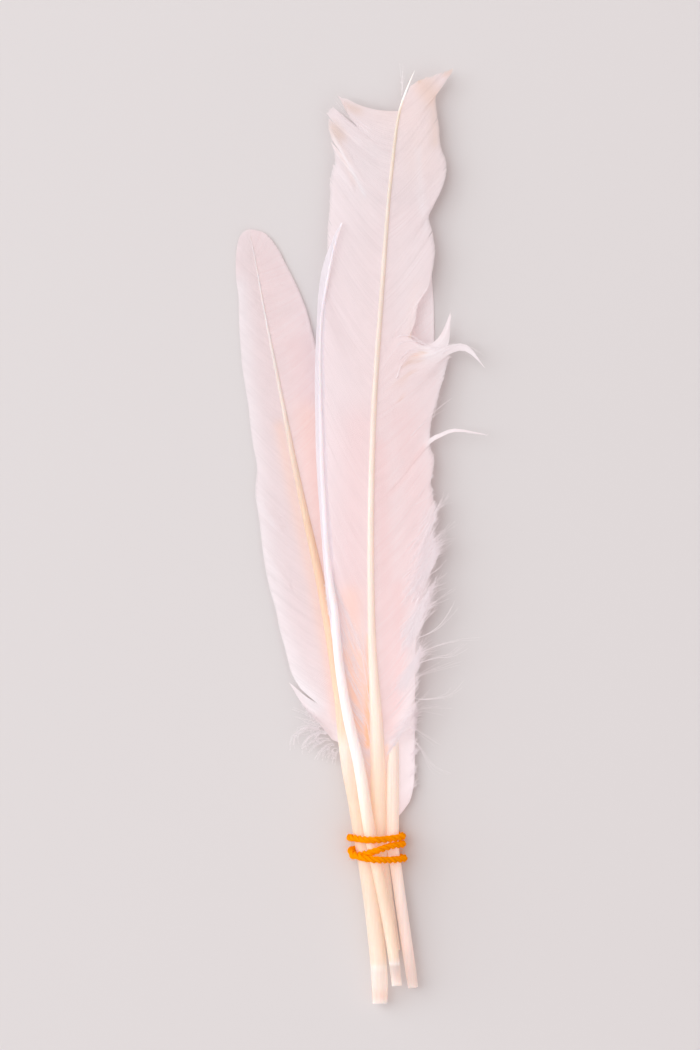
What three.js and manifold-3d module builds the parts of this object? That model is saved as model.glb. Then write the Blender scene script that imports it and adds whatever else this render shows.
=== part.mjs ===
// A bunch of four goose quill feathers, lying down and tied round the quills with a twisted cord.
// Millimetres, +Z up. The feather tips point along +Y, the cut quill ends along -Y.
//
// Plan positions are in drawing steps of 0.2 mm, counted from the middle of the tie: x to the
// right, y toward the tips. Heights above the floor and radii are in millimetres.

import * as THREE from 'three';
import { mergeVertices } from 'three/addons/utils/BufferGeometryUtils.js';
import Module from 'manifold-3d';

const STEP = 0.2; // mm in one drawing step
const MIDDLE_X = 0.5; // the bunch's middle, in drawing steps from the middle of the tie
const MIDDLE_Y = 311;

const QUILL_SIDES = 8;
const VANE_AT_SHAFT = 0.5; // thickness of a vane where it grows from the shaft
const VANE_TO_SHAFT = 1.4; // the most that thickness can be, as a share of the shaft's radius
const VANE_AT_EDGE = 0.28;
const VANE_OVERLAP = 0.03; // how far a vane reaches back across the shaft, as a share of its barbs
const BARB_REACH = 0.42; // how far out, and how far up, a barb has gone where it turns upward
const BARB_LIFT = 0.26;
const WISP_AT_ROOT = 0.26; // radius of a loose strand of barbs
const WISP_AT_TIP = 0.1;
const WISP_PARTS = 3;
const WISP_SIDES = 3;
const QUILL_WALL = 0.36;

const CORD_RADIUS = 0.76;
const CORD_GAP = 0.08; // between the cord and the quills
const CORD_STRANDS = 3;
const CORD_SIDES = 9;
const CORD_GROOVE = 0.12; // depth of the groove between strands, as a share of the radius
const CORD_LAY = 3.9; // mm of cord to one full twist of its strands
const CORD_SPACING = 1.2; // mm between the cord's sections

const wasm = await Module();
wasm.setup();

// ---------------------------------------------------------------- the feathers

// shaft: [x, y, height, radius] from the cut end to the tip.
// A vane's lock is a list of barbs, [y of its root on the shaft, [x, y, height] of its tip]; a barb
// that bends passes through more points on the way. rise is where the vane grows from the shaft, as
// a share of its radius above the middle; drop is how much of its fall it has made half way;
// facets is how many flat steps it takes from the shaft to its edge.
// A wisp is one loose strand, written like a barb.

const front = {
  name: 'feather_front',
  colour: 0xf3dcdc,
  hollow: 3,
  shaft: [
    [36, -105, 2.35, 0.95], [32.3, -83, 2.5, 1.05], [27.6, -53, 2.7, 1.17], [23.3, -23, 2.85, 1.28],
    [19.7, 0, 2.97, 1.35], [18.6, 27, 3.1, 1.38], [18.2, 57, 3.24, 1.4], [17.4, 97, 3.55, 1.4],
    [16.3, 127, 3.85, 1.32], [14.8, 152, 4.1, 1.15], [12.5, 192, 4.42, 0.88], [11.2, 237, 4.7, 0.76],
    [10.6, 297, 4.9, 0.66], [11, 347, 4.95, 0.62], [12.2, 397, 4.9, 0.6], [14.2, 447, 4.8, 0.57],
    [17.6, 497, 4.65, 0.53], [21.2, 547, 4.45, 0.49], [24.8, 597, 4.2, 0.45], [28.6, 647, 3.9, 0.39],
    [32.8, 687, 3.6, 0.33], [36.3, 717, 3.35, 0.27], [40, 739, 3.15, 0.22], [42.5, 749, 3.1, 0.17],
  ],
  vanes: [
    { rise: 0.2, drop: 0.3, facets: 3, locks: [
      [[733, [-6, 747, 2.9]], [725, [-15, 749, 2.8]], [713, [-22.5, 749.5, 2.7]], [699, [-21, 747, 2.7]]],
      [[696, [-25, 736, 2.65]], [687, [-29, 733.5, 2.6]]],
      [[682, [-31.5, 730, 2.6]], [667, [-31.5, 721, 2.65]], [642, [-29, 708.5, 2.75]]],
      [[648, [-29, 705, 2.5]], [641, [-26.5, 697, 2.6]], [625, [-25, 687, 2.65]], [609, [-28, 676, 2.65]],
        [595, [-30, 665, 2.7]], [555, [-31.5, 629, 2.8]], [517, [-32.5, 595, 2.9]],
        [508, [-32, 586, 3.0]]],
      [[507, [-28, 583, 3.2]], [479, [-31.5, 555, 3.9]], [445, [-35, 525, 4.15]],
        [401, [-36.8, 485, 4.15]], [359, [-36.2, 445, 4.15]], [315, [-33.5, 397, 4.25]],
        [267, [-31.5, 347, 4.4]], [225, [-27.5, 297, 4.6]], [207, [-25.5, 273, 4.7]],
        [192, [-21.5, 251, 4.8]], [179, [-18, 229, 4.9]], [163, [-10, 199, 4.6]],
        [151, [-6, 179, 4.4]], [142, [-4, 165, 4.25]]],
    ] },
    { rise: 0.2, drop: 0.3, facets: 3, locks: [
      [[744, [51, 761, 3.1]], [741, [60, 767, 3.05]], [735, [76, 772, 2.95]], [727, [93, 778, 2.85]],
        [711, [84, 763, 2.8]], [699, [77, 754, 2.75]], [688, [75.5, 746, 2.75]],
        [675, [77, 733, 2.75]], [660, [79, 719, 2.75]], [646, [80, 706, 2.75]], [637, [81.5, 698, 2.75]],
        [628, [85, 688, 2.75]], [619, [86.5, 679, 2.75]], [603, [84.5, 666, 2.8]],
        [589, [80, 654, 2.9]], [577, [74, 642, 2.95]], [566, [69, 631, 3.0]], [554, [71, 619, 3.0]],
        [541, [74, 606, 3.0]], [527, [75, 593, 3.05]], [513, [73, 579, 3.1]], [500, [70, 565, 3.15]],
        [496, [67, 557, 3.3]], [492, [60, 549, 3.5]], [488, [57, 538, 3.7]], [484, [55.5, 526, 3.8]],
        [478, [52, 516, 3.9]]],
      [[475, [40, 509.5, 4.4], [64, 500, 4.1], [80, 510, 3.9], [90, 534, 3.8]],
        [467, [43, 501, 4.5], [68, 496, 4.2], [84, 507, 4.0], [91, 531, 3.85]],
        [459, [44, 489, 4.5], [70, 493, 4.2], [87, 502, 3.9], [90.5, 529, 3.8]]],
      [[455, [46, 485, 4.5], [72, 492, 4.2], [90, 501, 3.9], [108, 500.5, 3.6], [125, 479, 3.2]],
        [445, [48, 473, 4.4], [74, 484, 4.0], [90, 495, 3.7], [106, 496, 3.5], [123.5, 480, 3.2]]],
      [[443, [50, 470, 4.35], [75, 482, 3.9], [89, 493, 3.3]], [423, [89, 488, 3.0]], [413, [86.5, 481, 2.9]],
        [401, [83.5, 469, 2.95]], [387, [79.5, 455, 3.0]], [375, [76, 443, 3.1]],
        [363, [72.5, 431, 3.2]], [351, [70.5, 420, 3.2]], [339, [70, 409, 3.25]]],
      [[338, [42, 377, 4.2], [68, 406, 3.4], [80, 413, 3.4], [96, 418, 3.3], [125, 413, 2.9]],
        [332, [42, 371, 4.2], [68, 402, 3.4], [80, 410, 3.4], [96, 415.5, 3.3], [124, 412, 2.9]]],
      [[341, [69.5, 406, 3.1]], [333, [70, 400, 3.2]], [321, [74, 390, 3.25]], [309, [73, 376, 3.3]],
        [299, [70.5, 364, 3.35]], [289, [73, 351, 3.4]], [277, [75, 338, 3.4]],
        [267, [74.5, 328, 3.5]], [257, [71.5, 317, 3.6]], [249, [72, 306, 3.65]],
        [239, [74, 291, 3.7]], [229, [71, 275, 3.8]], [219, [68, 259, 3.9]], [209, [64.5, 243, 4.0]],
        [199, [62, 229, 4.1]], [189, [60, 215, 4.15]], [179, [58.5, 201, 4.2]],
        [167, [57, 185, 4.2]], [155, [56.5, 171, 4.2]], [143, [56, 157, 4.3]],
        [133, [54, 145, 4.35]], [125, [48, 135, 4.4]]],
    ] },
  ],
  wisps: [
    [744, [54, 775, 3.1]],
    [744, [42, 782, 3.1]],
    [455, [76, 490, 4.1], [92, 499, 3.9], [108, 500, 3.6], [124, 491, 3.3]],
    [369, [55, 415, 3.9], [74, 435, 3.3], [89.5, 447.5, 3.0]],
    [255, [55, 291, 4.0], [80, 312, 3.7], [95, 325.5, 3.5]],
    [241, [60, 267, 4.0], [76, 277, 3.7], [87, 288, 3.5]],
    [225, [55, 249, 4.1], [72, 262, 3.8], [87, 274, 3.5]],
    [213, [52, 229, 4.1], [75, 245, 3.8], [96, 258, 3.4]],
    [197, [52, 207, 4.1], [75, 218, 3.8], [88, 233, 3.5], [95, 247, 3.3]],
    [179, [48, 189, 4.2], [70, 199, 3.8], [95, 207, 3.4], [121, 210, 3.1]],
    [157, [45, 163, 4.2], [60, 172, 3.9], [80, 179, 3.5], [102, 186, 3.2]],
    [147, [42, 150, 4.3], [65, 148, 3.8], [90, 153, 3.4], [104, 167, 3.2]],
    [137, [45, 135, 4.3], [65, 139, 3.8], [92, 139, 3.3]],
    [131, [42, 125, 4.3], [60, 115, 3.5], [81, 102, 2.8]],
    [127, [40, 117, 4.3], [58, 102, 3.4], [72, 82, 2.6], [89, 72, 2.0]],
  ],
};

const edgeOn = {
  name: 'feather_edge_on',
  colour: 0xf6edf0,
  hollow: 5.6,
  opening: { at: [34.9, -122, 5.1], size: [0.5, 1.3, 0.8] },
  shaft: [
    [37, -139, 4.1, 1.0], [34, -113, 4.42, 1.08], [29.5, -83, 4.8, 1.13], [24, -53, 5.18, 1.17],
    [18, -23, 5.48, 1.2], [13, 0, 5.68, 1.2], [9.5, 17, 5.72, 1.2], [6, 39, 5.72, 1.18],
    [0, 77, 5.65, 1.15], [-4.5, 99, 5.62, 1.12], [-9, 117, 5.6, 1.08], [-13, 136, 5.58, 1.03],
    [-17, 157, 5.45, 0.96], [-20, 177, 5.3, 0.9], [-22.5, 197, 5.12, 0.86], [-25.8, 237, 4.85, 0.82],
    [-30.5, 267, 4.62, 0.75], [-33.7, 297, 4.42, 0.68], [-36, 337, 4.2, 0.62],
    [-38.2, 377, 4.02, 0.57], [-39.5, 417, 3.9, 0.53], [-40.4, 457, 3.8, 0.48],
    [-40.6, 497, 3.75, 0.42], [-38.7, 532, 3.75, 0.37], [-35, 555, 3.8, 0.34],
    [-31.4, 574, 3.88, 0.3], [-28, 592, 3.95, 0.27], [-23.4, 609, 4.0, 0.23],
    [-18.2, 623.5, 4.02, 0.16],
  ],
  vanes: [
    { rise: 0.3, drop: 0.5, facets: 2, locks: [
      [[611, [-20, 620.5, 4.3]], [597, [-25.5, 612, 4.5]], [585, [-29, 602, 4.6]],
        [575, [-32.5, 594.5, 4.7]], [563, [-36, 584, 4.75]], [539, [-40, 565, 4.85]],
        [509, [-42.2, 543, 4.85]], [463, [-44, 505, 4.9]], [407, [-44.9, 457, 5.0]],
        [377, [-44.5, 427, 5.0]], [347, [-44, 397, 5.0]], [317, [-42.5, 367, 5.1]],
        [287, [-40.2, 335, 5.2]], [257, [-38, 305, 5.3]], [232, [-36, 279, 5.4]],
        [212, [-34, 257, 5.5]], [192, [-31, 237, 5.5]], [175, [-29, 217, 5.6]]],
    ] },
    { rise: -0.5, drop: 0.8, facets: 2, locks: [
      [[547, [-25, 563, 2.9]], [531, [-15, 555, 2.9]], [511, [-7, 543, 2.9]], [485, [-1, 525, 2.85]],
        [413, [3, 461, 2.8]], [333, [0, 377, 2.85]], [255, [-1.5, 292, 3.0]], [221, [-1.5, 255, 3.2]],
        [197, [-2, 233, 3.5]]],
    ] },
  ],
  wisps: [],
};

const left = {
  name: 'feather_left',
  colour: 0xf4e0e0,
  hollow: 7.4,
  shaft: [
    [20, -158, 2.2, 1.45], [19.8, -141, 2.35, 1.62], [19, -121, 2.5, 1.66], [16.3, -91, 2.75, 1.68],
    [12.5, -58, 3.0, 1.68], [8, -26, 3.18, 1.67], [3.8, 0, 3.3, 1.66], [0.5, 19, 3.35, 1.64],
    [-4.2, 47, 3.38, 1.62], [-10, 77, 3.36, 1.6], [-14, 102, 3.3, 1.48], [-18.7, 142, 3.14, 1.28],
    [-25.2, 185, 2.95, 1.14], [-29.4, 211, 2.83, 1.05], [-36.4, 249, 2.65, 0.94],
    [-45.4, 292, 2.45, 0.82], [-57.4, 345, 2.22, 0.68], [-68, 395, 2.02, 0.58],
    [-76, 437, 1.85, 0.5], [-85.5, 485, 1.65, 0.42], [-92.2, 519, 1.48, 0.36],
    [-98, 549, 1.32, 0.32], [-103, 577, 1.12, 0.3], [-107, 599, 0.95, 0.29], [-109.5, 611, 0.85, 0.28],
  ],
  vanes: [
    { rise: 0.2, drop: 0.3, facets: 3, locks: [
      [[602, [-99, 617.5, 0.75]], [596, [-111, 617.5, 0.7]], [591, [-118, 616, 0.5]],
        [584, [-122, 609, 0.4]], [575, [-124, 597, 0.32]], [557, [-124.8, 582, 0.28]],
        [521, [-122, 550, 0.28]], [483, [-121, 515, 0.3]], [441, [-118, 478, 0.32]],
        [399, [-112, 440, 0.36]], [379, [-110, 421, 0.4]], [357, [-107, 400, 0.44]],
        [337, [-103.5, 381, 0.5]], [319, [-104.5, 366, 0.55]], [301, [-105, 352, 0.6]],
        [285, [-102, 333, 0.65]], [267, [-99.5, 313, 0.7]], [249, [-97.5, 295, 0.8]],
        [231, [-94.5, 276, 0.9]], [197, [-84.5, 237, 1.1]], [165, [-75, 198, 1.3]],
        [151, [-70, 182, 1.4]], [139, [-66, 168, 1.5]], [129, [-59, 157, 1.6]]],
      [[123, [-70, 165, 1.3]], [109, [-68, 159.5, 1.25]]],
    ] },
    { rise: 0.2, drop: 0.3, facets: 2, locks: [
      [[596, [-108, 617.5, 0.75]], [592, [-98, 616.5, 0.6]], [587, [-90, 611, 0.5]], [582, [-81, 597, 0.45]],
        [577, [-75, 585, 0.45]], [563, [-69.5, 574, 0.45]], [547, [-63, 561, 0.5]],
        [529, [-58, 549, 0.55]], [511, [-53.5, 537, 0.6]], [491, [-49, 520, 0.7]],
        [469, [-44.5, 501, 0.8]], [423, [-37, 459, 1.0]], [371, [-29, 409, 1.2]],
        [317, [-22, 353, 1.4]], [261, [-17, 292, 1.7]], [207, [-22.5, 229, 2.0]],
        [157, [-17, 172, 2.3]], [135, [-14, 147, 2.45]]],
    ] },
  ],
  wisps: [
    [105, [-32, 117, 2.9], [-52, 124, 2.5], [-72, 122, 2.0]],
    [101, [-35, 109, 2.8], [-53, 109, 2.3], [-71, 102, 1.8]],
    [98, [-32, 103, 2.7], [-45, 97, 2.2], [-57, 87, 1.6]],
    [95, [-28, 97, 2.6], [-35, 90, 2.1], [-40, 81, 1.5]],
  ],
};

const back = {
  name: 'feather_back',
  colour: 0xf1dcdd,
  hollow: 4,
  shaft: [
    [53.2, -142, 2.1, 0.98], [51.8, -131, 2.18, 1.06], [48.8, -111, 2.3, 1.1], [45.1, -85, 2.45, 1.12],
    [40.9, -56, 2.6, 1.13], [36.6, -25, 2.73, 1.14], [32.9, 0, 2.8, 1.15], [32.4, 25, 2.82, 1.16],
    [32.4, 52, 2.8, 1.17], [32.6, 87, 2.7, 1.17], [33.2, 117, 2.6, 1.1], [34.3, 147, 2.48, 1.0],
    [36.3, 197, 2.28, 0.88], [38.6, 257, 2.07, 0.78], [41.4, 327, 1.85, 0.68],
    [44.6, 397, 1.62, 0.58], [48, 477, 1.36, 0.48], [51, 547, 1.1, 0.38], [53.3, 602, 0.85, 0.31],
    [54.3, 627, 0.72, 0.29],
  ],
  vanes: [
    { rise: 0.2, drop: 0.3, facets: 2, locks: [
      [[613, [53, 637, 0.6]], [610, [59, 634, 0.55]], [607, [64, 625, 0.45]], [599, [68, 611, 0.4]],
        [581, [70, 596, 0.35]], [561, [71.3, 580, 0.33]], [543, [72.8, 562, 0.3]],
        [523, [74, 544, 0.3]], [502, [74.5, 525, 0.3]], [480, [74.3, 504, 0.3]],
        [449, [72.5, 475, 0.32]], [415, [70.5, 443, 0.35]], [381, [68.5, 411, 0.4]],
        [345, [67, 377, 0.45]], [309, [65.5, 342, 0.5]], [274, [63.5, 307, 0.6]],
        [239, [61, 272, 0.7]], [205, [58, 235, 0.85]], [173, [56, 202, 1.0]],
        [140, [55.2, 167, 1.2]], [109, [55, 135, 1.35]], [79, [55, 105, 1.5]], [55, [55, 79, 1.6]],
        [41, [53.5, 60, 1.7]], [32, [50, 46, 1.8]], [27, [44, 37, 2.0]]],
    ] },
    { rise: 0.2, drop: 0.3, facets: 2, locks: [
      [[611, [54, 637, 0.7]], [606, [47, 636, 0.65]], [600, [39, 631, 0.5]], [591, [30, 620, 0.45]],
        [571, [22, 604, 0.4]], [547, [15, 583, 0.4]], [517, [9, 556, 0.4]], [481, [4, 522, 0.45]],
        [399, [-3, 441, 0.55]], [315, [-5, 353, 0.7]], [275, [-4, 309, 0.8]],
        [239, [-1.5, 267, 0.95]], [209, [3, 230, 1.1]], [185, [10, 200, 1.3]],
        [167, [19, 179, 1.6]]],
    ] },
  ],
  wisps: [],
};

// ---------------------------------------------------------------- the tie

// The cord's way round the quills: [turn, y]. A whole turn starts at the right-hand side and goes
// over the top first; each end is tucked flat against the quills underneath.
const cordRoute = [
  [-0.3, 14.5], [0, 11], [0.25, 10], [0.5, 9.8], [0.75, 6], [1, 2.2], [1.25, -0.8], [1.5, -4],
  [1.75, -7.5], [2, -10.8], [2.25, -12], [2.5, -12.3], [2.8, -15.5],
];

// ---------------------------------------------------------------- curves

function place(point) {
  return new THREE.Vector3((point[0] - MIDDLE_X) * STEP, (point[1] - MIDDLE_Y) * STEP, point[2]);
}

// Smooth values at one place of a table whose rows rise in the column given.
function smoothRow(rows, column, at) {
  let index = 0;
  while (index < rows.length - 2 && rows[index + 1][column] < at) {
    index += 1;
  }
  const [before, from, to, after] = [
    rows[Math.max(index - 1, 0)], rows[index], rows[index + 1], rows[Math.min(index + 2, rows.length - 1)],
  ];
  const span = to[column] - from[column];
  const part = (at - from[column]) / span;
  const slopeFrom = (value) => (to[value] - before[value]) / (to[column] - before[column]);
  const slopeTo = (value) => (after[value] - from[value]) / (after[column] - from[column]);
  return from.map((start, value) => (
    start * (1 + 2 * part) * (1 - part) ** 2
    + slopeFrom(value) * span * part * (1 - part) ** 2
    + to[value] * part ** 2 * (3 - 2 * part)
    - slopeTo(value) * span * part ** 2 * (1 - part)
  ));
}

function shaftAt(feather, y) {
  return smoothRow(feather.shaft, 1, y);
}

// A point on the smooth curve through all the points given, part of the way along.
function curveThrough(points, part) {
  const last = points.length - 1;
  const index = Math.max(Math.min(Math.floor(part * last), last - 1), 0);
  const t = part * last - index;
  const [a, b, c, d] = [
    points[Math.max(index - 1, 0)], points[index], points[index + 1], points[Math.min(index + 2, last)],
  ];
  return b.map((start, axis) => 0.5 * (2 * start + (c[axis] - a[axis]) * t
    + (2 * a[axis] - 5 * start + 4 * c[axis] - d[axis]) * t ** 2
    + (3 * start - a[axis] - 3 * c[axis] + d[axis]) * t ** 3));
}

function barbPoint(feather, vane, barb, part) {
  const [x, y, height, radius] = shaftAt(feather, barb[0]);
  const root = [x, y, height + vane.rise * radius];
  const tip = barb[barb.length - 1];
  if (barb.length > 2) {
    return curveThrough([root, ...barb.slice(1)], part);
  }
  const turn = [
    root[0] + (tip[0] - root[0]) * BARB_REACH,
    root[1] + (tip[1] - root[1]) * BARB_LIFT,
    root[2] + (tip[2] - root[2]) * vane.drop,
  ];
  return root.map((start, axis) => (
    start * (1 - part) ** 2 + turn[axis] * 2 * part * (1 - part) + tip[axis] * part ** 2));
}

// ---------------------------------------------------------------- solids

// A closed solid from its corners and faces, turned so that its faces point out.
function solid(corners, faces) {
  let volume = 0;
  for (const [a, b, c] of faces) {
    volume += corners[a].dot(corners[b].clone().cross(corners[c]));
  }
  const outward = volume > 0 ? faces : faces.map(([a, b, c]) => [a, c, b]);
  return new wasm.Manifold(new wasm.Mesh({
    numProp: 3,
    vertProperties: new Float32Array(corners.flatMap((corner) => corner.toArray())),
    triVerts: new Uint32Array(outward.flat()),
  }));
}

// Rings of equal size joined in order, with a flat cap on the first and the last.
function ringSolid(rings) {
  const sides = rings[0].length;
  const corners = rings.flat();
  const faces = [];
  for (let ring = 0; ring < rings.length - 1; ring += 1) {
    for (let side = 0; side < sides; side += 1) {
      const here = ring * sides + side;
      const next = ring * sides + (side + 1) % sides;
      faces.push([here, next, here + sides], [next, next + sides, here + sides]);
    }
  }
  const lastRing = (rings.length - 1) * sides;
  for (let side = 1; side < sides - 1; side += 1) {
    faces.push([0, side + 1, side], [lastRing, lastRing + side, lastRing + side + 1]);
  }
  return solid(corners, faces);
}

function ringAround(centre, ahead, radius, sides, shape = () => 1) {
  const across = ahead.clone().cross(new THREE.Vector3(0, 0, 1)).normalize();
  const up = across.clone().cross(ahead).normalize();
  return Array.from({ length: sides }, (_, side) => {
    const angle = (2 * Math.PI * side) / sides;
    const reach = radius * shape(angle);
    return centre.clone().addScaledVector(across, reach * Math.cos(angle))
      .addScaledVector(up, reach * Math.sin(angle));
  });
}

// The quill: open at its cut end, and hollow there.
function shaftSolid(feather) {
  const section = (y, inset) => {
    const [x, , height, radius] = shaftAt(feather, y);
    const ahead = place(shaftAt(feather, y + 1)).sub(place(shaftAt(feather, y - 1))).normalize();
    return ringAround(place([x, y, height]), ahead, radius - inset, QUILL_SIDES);
  };
  const cut = feather.shaft[0][1];
  const floorOfHollow = cut + feather.hollow / STEP;
  const inside = [section(floorOfHollow, QUILL_WALL), section(cut, QUILL_WALL)];
  return ringSolid([...inside, ...feather.shaft.map((row) => section(row[1], 0))]);
}

// A sheet along the barbs of one lock, thinner toward its edge.
function lockSolid(feather, vane, lock) {
  const { facets } = vane;
  const grid = lock.map((barb) => Array.from({ length: facets + 1 }, (_, column) => (
    place(barbPoint(feather, vane, barb, column === 0 ? -VANE_OVERLAP : column / facets)))));
  const lastRow = grid.length - 1;
  const upper = [];
  const lower = [];
  grid.forEach((row, i) => row.forEach((point, j) => {
    const down = grid[Math.min(i + 1, lastRow)][j].clone().sub(grid[Math.max(i - 1, 0)][j]);
    const out = row[Math.min(j + 1, facets)].clone().sub(row[Math.max(j - 1, 0)]);
    const atShaft = Math.min(VANE_AT_SHAFT, VANE_TO_SHAFT * shaftAt(feather, lock[i][0])[3]);
    const half = THREE.MathUtils.lerp(atShaft, VANE_AT_EDGE, j / facets) / 2;
    const offset = out.cross(down).normalize().multiplyScalar(half);
    upper.push(point.clone().add(offset));
    lower.push(point.clone().sub(offset));
  }));
  const width = facets + 1;
  const underside = upper.length;
  const faces = [];
  for (let i = 0; i < lastRow; i += 1) {
    for (let j = 0; j < facets; j += 1) {
      const a = i * width + j;
      faces.push([a, a + 1, a + width], [a + 1, a + width + 1, a + width]);
      const b = a + underside;
      faces.push([b, b + width, b + 1], [b + 1, b + width, b + width + 1]);
    }
  }
  const rim = [];
  for (let j = 0; j < facets; j += 1) {
    rim.push(j);
  }
  for (let i = 0; i < lastRow; i += 1) {
    rim.push(i * width + facets);
  }
  for (let j = facets; j > 0; j -= 1) {
    rim.push(lastRow * width + j);
  }
  for (let i = lastRow; i > 0; i -= 1) {
    rim.push(i * width);
  }
  rim.forEach((here, index) => {
    const next = rim[(index + 1) % rim.length];
    faces.push([next, here, here + underside], [next, here + underside, next + underside]);
  });
  return solid([...upper, ...lower], faces);
}

function wispSolid(feather, wisp) {
  const plain = { rise: 0, drop: 0.3 };
  const centres = Array.from({ length: WISP_PARTS + 1 }, (_, index) => (
    place(barbPoint(feather, plain, wisp, index / WISP_PARTS))));
  return ringSolid(centres.map((centre, index) => {
    const ahead = centres[Math.min(index + 1, WISP_PARTS)].clone().sub(centres[Math.max(index - 1, 0)]);
    const radius = THREE.MathUtils.lerp(WISP_AT_ROOT, WISP_AT_TIP, index / WISP_PARTS);
    return ringAround(centre, ahead.normalize(), radius, WISP_SIDES);
  }));
}

// The slot where the hollow end of a quill shows its inside.
function openingSolid(opening) {
  const slot = new THREE.SphereGeometry(1, 12, 8);
  slot.scale(...opening.size);
  slot.translate(...place(opening.at).toArray());
  slot.deleteAttribute('normal');
  slot.deleteAttribute('uv');
  const merged = mergeVertices(slot);
  return new wasm.Manifold(new wasm.Mesh({
    numProp: 3,
    vertProperties: new Float32Array(merged.attributes.position.array),
    triVerts: new Uint32Array(merged.index.array),
  }));
}

// ---------------------------------------------------------------- meshes

function namedMesh(manifold, name, colour, roughness) {
  const { vertProperties, triVerts } = manifold.getMesh();
  const geometry = new THREE.BufferGeometry();
  geometry.setAttribute('position', new THREE.BufferAttribute(new Float32Array(vertProperties), 3));
  geometry.setIndex(new THREE.BufferAttribute(new Uint32Array(triVerts), 1));
  geometry.computeVertexNormals();
  const material = new THREE.MeshStandardMaterial({ color: colour, roughness, metalness: 0 });
  const mesh = new THREE.Mesh(geometry, material);
  mesh.name = name;
  return mesh;
}

function featherMesh(feather) {
  const pieces = feather.vanes.flatMap((vane) => vane.locks.map((lock) => lockSolid(feather, vane, lock)));
  pieces.push(...feather.wisps.map((wisp) => wispSolid(feather, wisp)));
  let whole = pieces.reduce((joined, piece) => joined.add(piece), shaftSolid(feather));
  if (feather.opening) {
    whole = whole.subtract(openingSolid(feather.opening));
  }
  return namedMesh(whole, feather.name, feather.colour, 0.55);
}

// The outline, at one y, of a cord pulled tight round the quills: points in order from the right-hand
// side over the top, with the length up to each.
function roundTheQuills(feathers, y) {
  const reach = CORD_RADIUS + CORD_GAP;
  const points = [];
  for (let degree = 0; degree <= 360; degree += 4) {
    const angle = THREE.MathUtils.degToRad(degree);
    const [across, up] = [Math.cos(angle), Math.sin(angle)];
    const touching = feathers.map((feather) => {
      const [x, , height, radius] = shaftAt(feather, y);
      const centre = place([x, y, height]);
      return { centre, radius, support: centre.x * across + centre.z * up + radius };
    }).reduce((best, quill) => (quill.support > best.support ? quill : best));
    const size = touching.radius + reach;
    points.push(touching.centre.clone().add(new THREE.Vector3(size * across, 0, size * up)));
  }
  const lengths = [0];
  for (let index = 1; index < points.length; index += 1) {
    lengths.push(lengths[index - 1] + points[index].distanceTo(points[index - 1]));
  }
  return { points, lengths };
}

function cordCentre(feathers, turn) {
  const y = smoothRow(cordRoute, 0, turn)[1];
  const { points, lengths } = roundTheQuills(feathers, y);
  const along = (turn - Math.floor(turn)) * lengths[lengths.length - 1];
  let index = 0;
  while (index < lengths.length - 2 && lengths[index + 1] < along) {
    index += 1;
  }
  const part = (along - lengths[index]) / (lengths[index + 1] - lengths[index]);
  return points[index].clone().lerp(points[index + 1], part);
}

function cordMesh(feathers) {
  const [first, last] = [cordRoute[0][0], cordRoute[cordRoute.length - 1][0]];
  const oneTurn = roundTheQuills(feathers, 0).lengths.at(-1);
  const sections = Math.round(((last - first) * oneTurn) / CORD_SPACING);
  const turnAt = (section) => first + ((last - first) * section) / sections;
  const rings = Array.from({ length: sections + 1 }, (_, section) => {
    const centre = cordCentre(feathers, turnAt(section));
    const before = cordCentre(feathers, turnAt(section - 0.5));
    const forward = cordCentre(feathers, turnAt(section + 0.5)).sub(before).normalize();
    const twist = (2 * Math.PI * section * CORD_SPACING) / CORD_LAY;
    const strands = (angle) => 1 - CORD_GROOVE * (0.5 - 0.5 * Math.cos(CORD_STRANDS * (angle - twist)));
    const across = new THREE.Vector3(0, 1, 0);
    const outward = forward.clone().cross(across).normalize();
    return Array.from({ length: CORD_SIDES }, (__, side) => {
      const angle = (2 * Math.PI * side) / CORD_SIDES;
      const size = CORD_RADIUS * strands(angle);
      return centre.clone().addScaledVector(across, size * Math.cos(angle))
        .addScaledVector(outward, size * Math.sin(angle));
    });
  });
  return namedMesh(ringSolid(rings), 'tie_cord', 0xfb8f12, 0.8);
}

const feathers = [front, edgeOn, left, back];
const bunch = new THREE.Group();
bunch.add(...feathers.map((feather) => featherMesh(feather)));
bunch.add(cordMesh(feathers));

export default bunch;
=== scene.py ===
"""Dresses a bunch of four goose quill feathers, bound round the quills with a twisted cord."""

import bpy
import numpy as np
from bpy.props import FloatProperty, FloatVectorProperty, IntProperty, PointerProperty
from bpy.types import Operator, Panel, PropertyGroup
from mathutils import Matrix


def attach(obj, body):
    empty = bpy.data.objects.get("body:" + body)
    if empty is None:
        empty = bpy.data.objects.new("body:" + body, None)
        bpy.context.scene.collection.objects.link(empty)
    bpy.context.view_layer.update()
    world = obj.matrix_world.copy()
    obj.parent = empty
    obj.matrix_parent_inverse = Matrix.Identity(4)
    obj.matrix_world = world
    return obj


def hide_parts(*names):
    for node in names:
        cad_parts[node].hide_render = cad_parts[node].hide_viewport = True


bl_info = {
    "name": "Goose Quill Bunch",
    "version": (1, 0, 0),
    "blender": (4, 5, 0),
    "location": "View3D > Sidebar > Feathers",
    "description": "Builds a bunch of goose quill feathers bound with a twisted cord",
    "category": "Add Mesh",
}

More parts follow.
